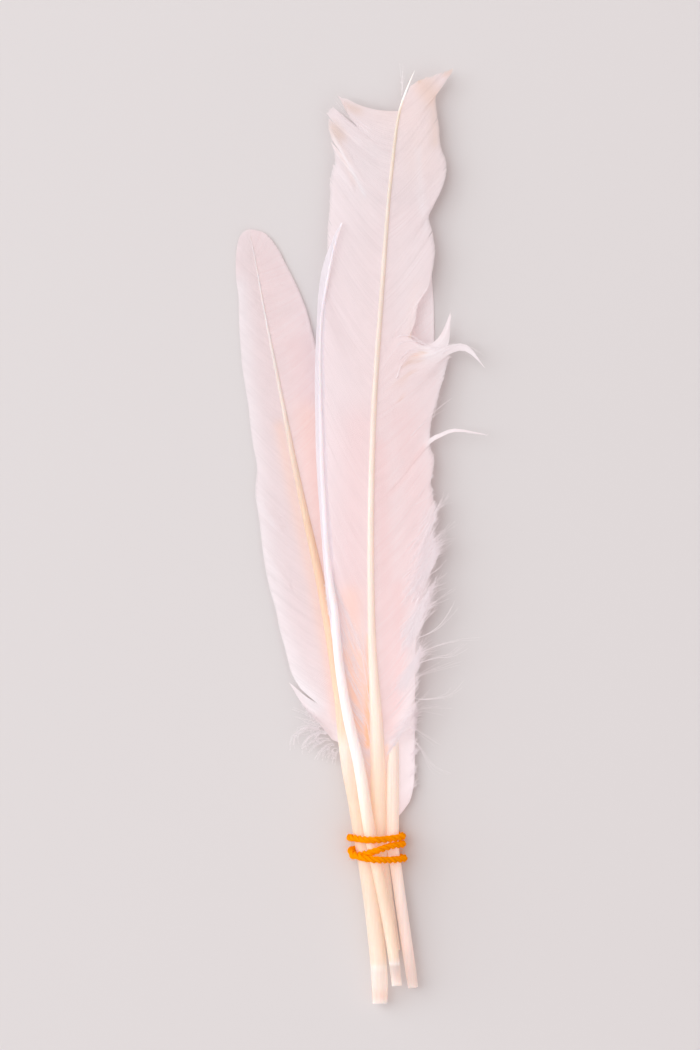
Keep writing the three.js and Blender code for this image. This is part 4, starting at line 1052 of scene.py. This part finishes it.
def barb_rings(paths, lean, lift, ragged, loose, sizes, dice):
    """Flat closed sections along every barb: a ridge with a thin web on each side."""
    part = np.linspace(0, 1, paths.shape[1])
    across = unit(np.gradient(paths, axis=0))
    forward = unit(np.gradient(paths, axis=1))
    normal = unit(np.cross(forward, across))
    turned = normal[..., 2].mean() < 0
    if turned:
        normal = -normal
    paths = paths + across * (lean[:, None] * ragged * BARB_LEAN * part ** 4)[..., None]
    paths = paths + normal * (lift[:, None] * ragged * BARB_STIR * part ** 2)[..., None]
    stretch = dice.normal(0, BARB_UNEVEN * ragged, len(paths))
    stretch = stretch + loose * dice.uniform(*LOOSE_ENDS, len(paths))
    paths = paths + forward * (stretch[:, None] * part ** 5)[..., None]
    gap = np.gradient(paths, axis=0)
    gap = gap - (gap * forward).sum(-1, keepdims=True) * forward
    side = unit(gap)
    taper = np.interp(part, [0, 0.94 - 0.12 * ragged, 0.98 - 0.04 * ragged, 1], [1, 1, 0.85, 0.4])
    half = np.linalg.norm(gap, axis=-1) / 2 * sizes.barb_cover * taper
    half = half * (1 - loose[:, None] * np.interp(part, [0.5, 0.97], [0, 0.6]))
    half = np.clip(half, *HALF_WIDTHS)
    ridge = sizes.barb_ridge * np.interp(part, [0, 1], [1.25, 0.6])
    profile = BARB_PROFILE if turned else BARB_PROFILE[::-1]
    rings = [paths + side * (half * out)[..., None]
             + normal * (half * tilt + ridge * rise)[..., None] for out, tilt, rise in profile]
    return np.stack(rings, axis=2), np.array([out for out, _, _ in profile])


def marked(feather, kind, paths):
    """How strongly a kind of mark shows at each point of the barbs."""
    strength = np.zeros(paths.shape[:-1])
    for line, width, most in feather["marks"].get(kind, []):
        strength = np.maximum(strength, most * nearness(paths, line, width))
    return strength[..., None]


def model_lock(feather, index, lock, sizes, dice):
    """The sections of all barbs of one lock, and the numbers that their material reads."""
    vane = feather["vanes"][index]
    rows = lock_rows(feather, vane, lock)
    roots = even_roots(rows, sizes.barb_pitch)
    count = len(roots)
    roots[1:-1] += dice.normal(0, BARB_JITTER, count - 2) * (roots[2:] - roots[:-2]) / 2
    plan = barbs_at(rows, roots)
    for line, height, width in feather["folds"]:
        plan[..., 2] += height * nearness(plan, line, width)
    lean, lift = gathered(count, dice)
    paths = place(plan)
    loose = looseness(feather, index, roots)
    rings, across = barb_rings(paths, lean, lift, feather["ragged"], loose, sizes, dice)
    stations = BARB_PARTS + 1
    tone = dice.normal(0, TONE_SPREAD, count) + vane.get("tone", 0)
    values = {
        "along": np.tile(np.linspace(0, 1, stations)[:, None], (count, 1, 1)),
        "lane": at_each(roots * STEP, stations),
        "reach": run_along(paths),
        "tone": at_each(tone, stations),
    }
    for kind in MARKS:
        values[kind] = marked(feather, kind, plan)
    return rings, across, values


def model_vane(feather, index, sizes, material, dice):
    """One side of a feather, all its barbs in one mesh."""
    locks = [model_lock(feather, index, lock, sizes, dice) for lock in feather["vanes"][index]["locks"]]
    rings, across, values = zip(*locks)
    joined = {key: np.concatenate([part[key] for part in values]) for key in values[0]}
    joined["across"] = across[-1][None, None, :]
    name = f"{feather['label']}_vane_{'left' if index == 0 else 'right'}"
    return strips(name, np.concatenate(rings), joined, material)


# ---------------------------------------------------------------- loose barbs and down


def strand_values(paths, dice):
    """The numbers that the barbs' material reads, for loose strands."""
    count, stations = paths.shape[:2]
    return {
        "along": np.linspace(0.7, 1, stations)[None, :, None],
        "lane": at_each(dice.random(count) * 0.02, stations),
        "reach": run_along(paths),
        "tone": at_each(dice.normal(0, TONE_SPREAD, count), stations),
    }


def read_off(line, shares):
    """Points of a line at shares of its way; shares holds one row for all three directions or three."""
    rows = np.linspace(0, 1, len(line))
    shares = np.broadcast_to(shares, (3, np.shape(shares)[-1]))
    return np.stack([np.interp(at, rows, column) for at, column in zip(shares, line.T)], axis=-1)


def wisp_strands(feather, dice):
    """Each loose strand that was written down, with the finer ones that lie beside it."""
    strands = []
    parts = np.linspace(WISP_START, 1, STRAND_STATIONS)
    far = np.linspace(0, 1, STRAND_STATIONS)[:, None]
    for wisp in feather["wisps"]:
        main = place(barb_path(feather, 0, 0.3, wisp, parts))
        for strand in range(WISP_STRANDS):
            spread = 0.0 if strand == 0 else 1.0
            bend = dice.normal(0, WISP_BEND, 3) * (1, 1, 0.3) * spread
            wave = np.sin(parts * dice.uniform(6, 12) + dice.uniform(0, 6))[:, None]
            wave = wave * dice.normal(0, WISP_WAVE, 3) * spread * feather["curl"]
            last = 1 - 0.35 * spread * dice.random()
            kept = read_off(main, np.linspace(0, last, STRAND_STATIONS))
            strands.append(kept + bend * far ** 1.6 + wave)
    return strands


def fringe_strand(barb, start, turn, length, lift, dice):
    """A fine strand that follows the outer part of a barb, then swerves off past its tip."""
    starts = start + dice.uniform(-FRINGE_JITTER, FRINGE_JITTER, 3)
    inner = read_off(barb, np.linspace(starts, 1, STRAND_STATIONS // 2, axis=1))
    heading = unit(inner[-1] - inner[-2])
    turn = turn + dice.normal(0, FRINGE_TURN)
    rise = dice.normal(0, FRINGE_RISE)
    swerve = np.array([heading[1] * turn, -heading[0] * turn, rise])
    far = np.linspace(0, 1, STRAND_STATIONS - len(inner) + 1)[1:, None]
    length = length * dice.uniform(0.3, 1.0)
    outer = inner[-1] + (heading * far + swerve * far ** 2) * length
    wave = np.sin(far * dice.uniform(5, 11)) * dice.normal(0, FRINGE_WAVE, 3) * far
    strand = np.vstack([inner, outer + wave])
    strand[:, 2] += lift * MILLIMETRE * dice.uniform(0.4, 1.0)
    return strand


def fringe_strands(feather, dice):
    """Fine barbs in tufts that run on past the edge of a vane, where it has come apart."""
    strands = []
    for index, low, high, count, reach, start, lift in feather["fringes"]:
        vane = feather["vanes"][index]
        sheets = [lock_rows(feather, vane, lock) for lock in vane["locks"]]
        tufts = max(1, round((high - low) / TUFT_PITCH))
        middles = dice.uniform(low, high, tufts)
        turns = dice.normal(0.0, TUFT_TURN, tufts)
        lengths = reach * MILLIMETRE * dice.uniform(0.45, 1.0, tufts)
        for tuft in dice.integers(0, tufts, count):
            root = np.clip(middles[tuft] + dice.normal(0, TUFT_SPREAD), low, high)
            rows = next((rows for rows in sheets if rows[0, 0] <= root <= rows[-1, 0]), None)
            if rows is not None:
                barb = place(barbs_at(rows, [root])[0])
                strands.append(fringe_strand(barb, start, turns[tuft], lengths[tuft], lift, dice))
    return strands


def hair_strands(strands, density, dice):
    """Short fine hairs down both sides of every strand, so many to each millimetre of it."""
    hairs = []
    far = np.linspace(0, 1, HAIR_STATIONS)[:, None]
    for strand in strands:
        last = len(strand) - 1
        run = np.linalg.norm(np.diff(strand, axis=0), axis=1).sum() / MILLIMETRE
        for _ in range(round(run * density)):
            t = dice.uniform(0.25, 0.98) * last
            at = int(t)
            beyond = strand[min(at + 1, last)]
            start = strand[at] + (beyond - strand[at]) * (t - at)
            forward = unit(beyond - strand[max(at - 1, 0)])
            side = unit(np.cross(forward, [0, 0, 1])) * dice.choice([-1, 1])
            lift = np.array([0, 0, dice.normal(0, 0.25)])
            size = HAIR_LENGTH * dice.uniform(0.4, 1.0) * (1 - 0.75 * t / last)
            out = side * far * 0.8 + forward * (0.35 * far + 0.5 * far ** 2) + lift * far
            hairs.append(start + out * size)
    return hairs


def model_down(feather, sizes, material, dice):
    """The loose strands and down of one feather, in one mesh for strands and one for their hairs."""
    label = feather["label"]
    strands = wisp_strands(feather, dice) + fringe_strands(feather, dice)
    paths = np.array(strands)
    paths[..., 2] = np.maximum(paths[..., 2], STRAND_LOW)
    thin = np.linspace(1, 0.25, STRAND_STATIONS) * sizes.down_radius
    radii = thin * dice.uniform(0.6, 1.2, (len(paths), 1))
    values = strand_values(paths, dice)
    pieces = [tubes(f"{label}_strands", paths, radii, STRAND_SIDES, values, material)]
    hairs = np.array(hair_strands(strands, feather["hairs"], dice))
    hairs[..., 2] = np.maximum(hairs[..., 2], HAIR_LOW)
    fine = np.broadcast_to(np.linspace(1, 0.4, HAIR_STATIONS) * HAIR_RADIUS, hairs.shape[:2])
    values = strand_values(hairs, dice)
    pieces.append(tubes(f"{label}_down", hairs, fine, HAIR_SIDES, values, material))
    return pieces


# ---------------------------------------------------------------- quills


def shaft_tube(name, points, radii):
    """A round tapering tube with closed ends, left as the active object."""
    bpy.ops.object.select_all(action="DESELECT")
    bpy.ops.curve.primitive_nurbs_path_add()
    quill = bpy.context.object
    quill.name = name
    curve = quill.data
    curve.splines.clear()
    spline = curve.splines.new("POLY")
    spline.points.add(len(points) - 1)
    for point, spot, radius in zip(spline.points, points, radii):
        point.co = (*spot, 1)
        point.radius = radius
    curve.bevel_depth = 1
    curve.bevel_resolution = 6
    curve.use_fill_caps = True
    bpy.ops.object.convert(target="MESH")
    return quill


def slant_end(mesh, start, inward, radius, slant):
    """Cuts the end back along the top, so that it is open upward."""
    for vertex in mesh.vertices:
        offset = np.array(vertex.co) - start
        depth = offset @ inward
        rise = (offset - inward * depth)[2] / radius
        back = np.clip((rise + 1) / 2, 0, 1) * slant
        if depth < SLANT_REACH:
            moved = start + offset + inward * back * (1 - max(depth, 0) / SLANT_REACH)
            vertex.co = tuple(moved)


def hollow_end(quill, inward, beyond, depth):
    """Sets the cut end's cap in by the wall and pushes it up the quill; beyond is above that cap."""
    bpy.ops.object.mode_set(mode="EDIT")
    bpy.ops.mesh.select_mode(type="FACE")
    bpy.ops.mesh.select_all(action="DESELECT")
    bpy.ops.object.mode_set(mode="OBJECT")
    for face in quill.data.polygons:
        is_cap = len(face.vertices) > 4
        face.select = is_cap and bool(np.dot(face.center, inward) < np.dot(beyond, inward))
    bpy.ops.object.mode_set(mode="EDIT")
    bpy.ops.mesh.inset(thickness=QUILL_WALL)
    push = tuple(inward * depth / HOLLOW_STEPS)
    for _ in range(HOLLOW_STEPS):
        bpy.ops.mesh.extrude_region_move(TRANSFORM_OT_translate={"value": push})
    bpy.ops.object.mode_set(mode="OBJECT")


def model_quill(feather, material):
    """The shaft from its cut end to the tip: a tapering tube, hollowed at the cut."""
    first, last = feather["shaft"][0][1], feather["shaft"][-1][1]
    rows = smooth_rows(feather["shaft"], 1, np.linspace(first, last, QUILL_PARTS))
    points, radii = place(rows), rows[:, 3] * MILLIMETRE
    quill = shaft_tube(f"{feather['label']}_quill", points, radii)
    inward = unit(points[2] - points[0])
    slant_end(quill.data, points[0], inward, radii[0], feather["slant"] * MILLIMETRE)
    hollow_end(quill, inward, points[4], feather["hollow"] * MILLIMETRE)
    low, high = points[0, 1], points[-1, 1]
    along = [(vertex.co.y - low) / (high - low) for vertex in quill.data.vertices]
    values = {"along": along, "clear": np.interp(along, feather["clear"], [1, 0])}
    for key, numbers in values.items():
        quill.data.attributes.new(key, "FLOAT", "POINT").data.foreach_set("value", numbers)
    bpy.ops.object.shade_smooth_by_angle(angle=QUILL_SMOOTH)
    quill.data.materials.clear()
    quill.data.materials.append(material)
    return quill


def model_pith(feather, material):
    """The pale core inside the clear horn, rounded where it stops short of the cut end."""
    first, last = feather["pith"]
    rows = smooth_rows(feather["shaft"], 1, np.linspace(first, last, PITH_PARTS))
    places = [0, 0.8, 1.6, 3, PITH_PARTS - 4, PITH_PARTS - 1]
    swell = np.interp(np.arange(PITH_PARTS), places, [0.3, 0.7, 0.9, 1, 1, 0.4])
    radii = rows[:, 3] * MILLIMETRE * PITH_SHARE * swell
    values = {"along": np.full((1, PITH_PARTS, 1), 0.5)}
    name = f"{feather['label']}_pith"
    return tubes(name, place(rows)[None], radii[None], PITH_SIDES, values, material)


# ---------------------------------------------------------------- the cord


def round_the_quills(y, lift):
    """Places round the quills at one y, half a cord out, from the right-hand side over the top."""
    angle = np.radians(np.arange(0, 361, 4))
    out = np.stack([np.cos(angle), np.zeros_like(angle), np.sin(angle)], axis=-1)
    rows = [smooth_rows(feather["shaft"], 1, y)[0] for feather in FEATHERS]
    centres = place(np.array(rows))
    radii = np.array([row[3] for row in rows]) * MILLIMETRE
    support = centres @ out.T + radii[:, None]
    touching = support.argmax(axis=0)
    reach = radii[touching] + (CORD_RADIUS + CORD_GAP + lift) * MILLIMETRE
    return centres[touching] + out * reach[:, None]


def cord_centre(turn):
    """The cord's middle after so many turns round the quills."""
    _, y, lift = smooth_rows(CORD_ROUTE, 0, turn)[0]
    points = round_the_quills(y, lift)
    lengths = np.concatenate([[0], np.cumsum(np.linalg.norm(np.diff(points, axis=0), axis=1))])
    along = (turn - np.floor(turn)) * lengths[-1]
    return np.array([np.interp(along, lengths, column) for column in points.T])


def cord_line():
    """The cord's middle, and the two directions across it, at even steps."""
    turns = np.linspace(CORD_ROUTE[0][0], CORD_ROUTE[-1][0], CORD_STATIONS)
    line = np.array([cord_centre(turn) for turn in turns])
    kernel = np.array([1, 2, 3, 2, 1]) / 9
    padded = np.pad(line, ((2, 2), (0, 0)), mode="edge")
    line = np.stack([np.convolve(column, kernel, mode="valid") for column in padded.T], axis=-1)
    forward = unit(np.gradient(line, axis=0))
    across = unit(np.cross(forward, np.cross([[0.0, 1, 0]], forward)))
    return line, across, unit(np.cross(forward, across))


def model_yarns(line, across, outward, sizes, material, dice):
    """The cord's strands twisted together, each of several yarns."""
    run = np.concatenate([[0], np.cumsum(np.linalg.norm(np.diff(line, axis=0), axis=1))])
    paths = []
    for strand in range(CORD_STRANDS):
        turn = 2 * np.pi * (run / (CORD_LAY * MILLIMETRE) + strand / CORD_STRANDS)[:, None]
        middle = line + (across * np.cos(turn) + outward * np.sin(turn)) * STRAND_OFFSET
        for yarn in range(sizes.yarn_count):
            twist = 2 * np.pi * (yarn / sizes.yarn_count + run / YARN_LAY)[:, None]
            paths.append(middle + (across * np.cos(twist) + outward * np.sin(twist)) * YARN_RADIUS)
    paths = np.array(paths)
    radii = np.full(paths.shape[:2], YARN_RADIUS)
    radii[:, :3] *= YARN_ENDS
    radii[:, -3:] *= YARN_ENDS[::-1]
    values = {
        "reach": np.tile(run[:, None], (len(paths), 1, 1)),
        "tone": at_each(dice.normal(0, TONE_SPREAD, len(paths)), CORD_STATIONS),
        "across": np.linspace(-1, 1, YARN_SIDES)[None, None, :],
    }
    return tubes("tie_yarns", paths, radii, YARN_SIDES, values, material)


def model_fibres(line, across, outward, material, dice):
    """Stray fibres that stand off the cord."""
    fibres = []
    far = np.linspace(0, 1, FIBRE_STATIONS)[:, None]
    for _ in range(FIBRE_COUNT):
        at = dice.integers(2, CORD_STATIONS - 2)
        turn = dice.uniform(0, 2 * np.pi)
        out = across[at] * np.cos(turn) + outward[at] * np.sin(turn)
        forward = unit(line[at + 1] - line[at]) * dice.choice([-1, 1]) + dice.normal(0, 0.5, 3)
        size = dice.uniform(*FIBRE_SIZES)
        fibres.append(line[at] + out * FIBRE_ROOT + (out * 0.5 * np.sin(far * 2.4) + forward * far) * size)
    fibres = np.array(fibres)
    fibres[..., 2] = np.maximum(fibres[..., 2], FIBRE_LOW)
    values = {
        "reach": np.tile(np.linspace(0, 0.001, FIBRE_STATIONS)[:, None], (FIBRE_COUNT, 1, 1)),
        "tone": at_each(dice.normal(0.4, 0.4, FIBRE_COUNT), FIBRE_STATIONS),
    }
    thin = np.full(fibres.shape[:2], FIBRE_RADIUS)
    return tubes("tie_fibres", fibres, thin, FIBRE_SIDES, values, material)


def model_cord(sizes, material, dice):
    """The twisted cord and its stray fibres."""
    line, across, outward = cord_line()
    yarns = model_yarns(line, across, outward, sizes, material, dice)
    return yarns, model_fibres(line, across, outward, material, dice)


# ---------------------------------------------------------------- operators


def dress(pieces, node):
    """Fixes the pieces to the bunch and hides the node's plain solid."""
    for piece in pieces:
        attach(piece, "root")
    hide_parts(node)


class FeatherMaker:
    """What the four feather operators share."""

    bl_options = {"REGISTER", "UNDO"}
    feather = None

    def execute(self, context):
        sizes, colours = context.scene.bunch_sizes, context.scene.bunch_colours
        feather, label = self.feather, self.feather["label"]
        gleam, shade = feather["gleam"], feather["shade"]
        dice = np.random.default_rng(feather["seed"])
        inner, outer = (getattr(colours, tint) for tint in feather["tints"])
        barbs = barb_finish(f"{label}_barbs", inner, outer, colours, feather["glow"], gleam, shade)
        pale, light = colours.pale, feather["fluff"]
        fluff = barb_finish(f"{label}_fluff", pale, pale, colours, FLUFF_GLOW, FLUFF_PAINTED_GLOW, light)
        horn = quill_finish(f"{label}_horn", feather["horn"], gleam + HORN_PAINTED_GLOW)
        core = quill_finish(f"{label}_core", [(0, feather["core"])], gleam)
        pieces = [model_vane(feather, index, sizes, barbs, dice) for index in range(len(feather["vanes"]))]
        pieces.append(model_quill(feather, horn))
        pieces.append(model_pith(feather, core))
        pieces += model_down(feather, sizes, fluff, dice)
        dress(pieces, feather["node"])
        return {"FINISHED"}


class BUNCH_OT_front_feather(FeatherMaker, Operator):
    """Build the broad feather that lies on top"""

    bl_idname = "bunch.front_feather"
    bl_label = "Front Feather"
    feather = FRONT


class BUNCH_OT_edge_on_feather(FeatherMaker, Operator):
    """Build the pale feather that stands nearly on its edge"""

    bl_idname = "bunch.edge_on_feather"
    bl_label = "Edge-on Feather"
    feather = EDGE_ON


class BUNCH_OT_left_feather(FeatherMaker, Operator):
    """Build the round-tipped feather that fans out to the left"""

    bl_idname = "bunch.left_feather"
    bl_label = "Left Feather"
    feather = LEFT


class BUNCH_OT_back_feather(FeatherMaker, Operator):
    """Build the feather that lies under the others"""

    bl_idname = "bunch.back_feather"
    bl_label = "Back Feather"
    feather = BACK


class BUNCH_OT_tie(Operator):
    """Wind the twisted cord round the quills"""

    bl_idname = "bunch.tie"
    bl_label = "Tie"
    bl_options = {"REGISTER", "UNDO"}

    def execute(self, context):
        dice = np.random.default_rng(CORD_SEED)
        material = cord_finish("tie_cotton", context.scene.bunch_colours.cord)
        dress(model_cord(context.scene.bunch_sizes, material, dice), "tie_cord")
        return {"FINISHED"}


class BUNCH_OT_stage(Operator):
    """Set up the pale floor, the soft lights and the camera straight above"""

    bl_idname = "bunch.stage"
    bl_label = "Stage"
    bl_options = {"REGISTER", "UNDO"}

    def execute(self, context):
        bpy.ops.object.select_all(action="DESELECT")
        bpy.ops.mesh.primitive_plane_add(size=FLOOR_SIZE)
        floor = context.object
        floor.name = "floor"
        floor.data.materials.append(floor_finish("floor_paper", context.scene.bunch_colours.floor))
        for light in LIGHTS:
            self.add_light(*light)
        world = bpy.data.worlds.new("studio")
        world.use_nodes = True
        background = world.node_tree.nodes["Background"]
        background.inputs["Color"].default_value = WORLD_COLOUR
        background.inputs["Strength"].default_value = WORLD_STRENGTH
        context.scene.world = world
        bpy.ops.object.camera_add(location=CAMERA_PLACE, rotation=(0, 0, 0))
        camera = context.object
        camera.data.lens = CAMERA_LENS
        camera.data.clip_start = CAMERA_NEAR
        context.scene.camera = camera
        context.scene.view_settings.view_transform = "Standard"
        return {"FINISHED"}

    @staticmethod
    def add_light(name, place, size, power, colour):
        """A square soft light aimed at the middle of the bunch."""
        bpy.ops.object.light_add(type="AREA", location=place)
        light = bpy.context.object
        light.name = name
        light.data.size = size
        light.data.energy = power
        light.data.color = colour
        direction = -np.array(place)
        tilt = np.arccos(-direction[2] / np.linalg.norm(direction))
        light.rotation_euler = (tilt, 0, np.arctan2(-direction[0], direction[1]))


STEPS = (
    BUNCH_OT_front_feather, BUNCH_OT_edge_on_feather, BUNCH_OT_left_feather, BUNCH_OT_back_feather,
    BUNCH_OT_tie, BUNCH_OT_stage,
)


class BUNCH_PT_feathers(Panel):
    """The bunch's sizes and colours, and a button for each step"""

    bl_idname = "BUNCH_PT_feathers"
    bl_label = "Goose Quill Bunch"
    bl_space_type = "VIEW_3D"
    bl_region_type = "UI"
    bl_category = "Feathers"

    def draw(self, context):
        for group in (context.scene.bunch_sizes, context.scene.bunch_colours):
            box = self.layout.box()
            for key in group.__annotations__:
                box.prop(group, key)
        for step in STEPS:
            self.layout.operator(step.bl_idname)


CLASSES = (BunchSizes, BunchColours, *STEPS, BUNCH_PT_feathers)


def register():
    for item in CLASSES:
        bpy.utils.register_class(item)
    bpy.types.Scene.bunch_sizes = PointerProperty(type=BunchSizes)
    bpy.types.Scene.bunch_colours = PointerProperty(type=BunchColours)


def unregister():
    del bpy.types.Scene.bunch_colours
    del bpy.types.Scene.bunch_sizes
    for item in reversed(CLASSES):
        bpy.utils.unregister_class(item)


def main():
    register()
    bpy.ops.bunch.front_feather()
    bpy.ops.bunch.edge_on_feather()
    bpy.ops.bunch.left_feather()
    bpy.ops.bunch.back_feather()
    bpy.ops.bunch.tie()
    bpy.ops.bunch.stage()
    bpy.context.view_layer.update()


if __name__ == "__main__":
    main()
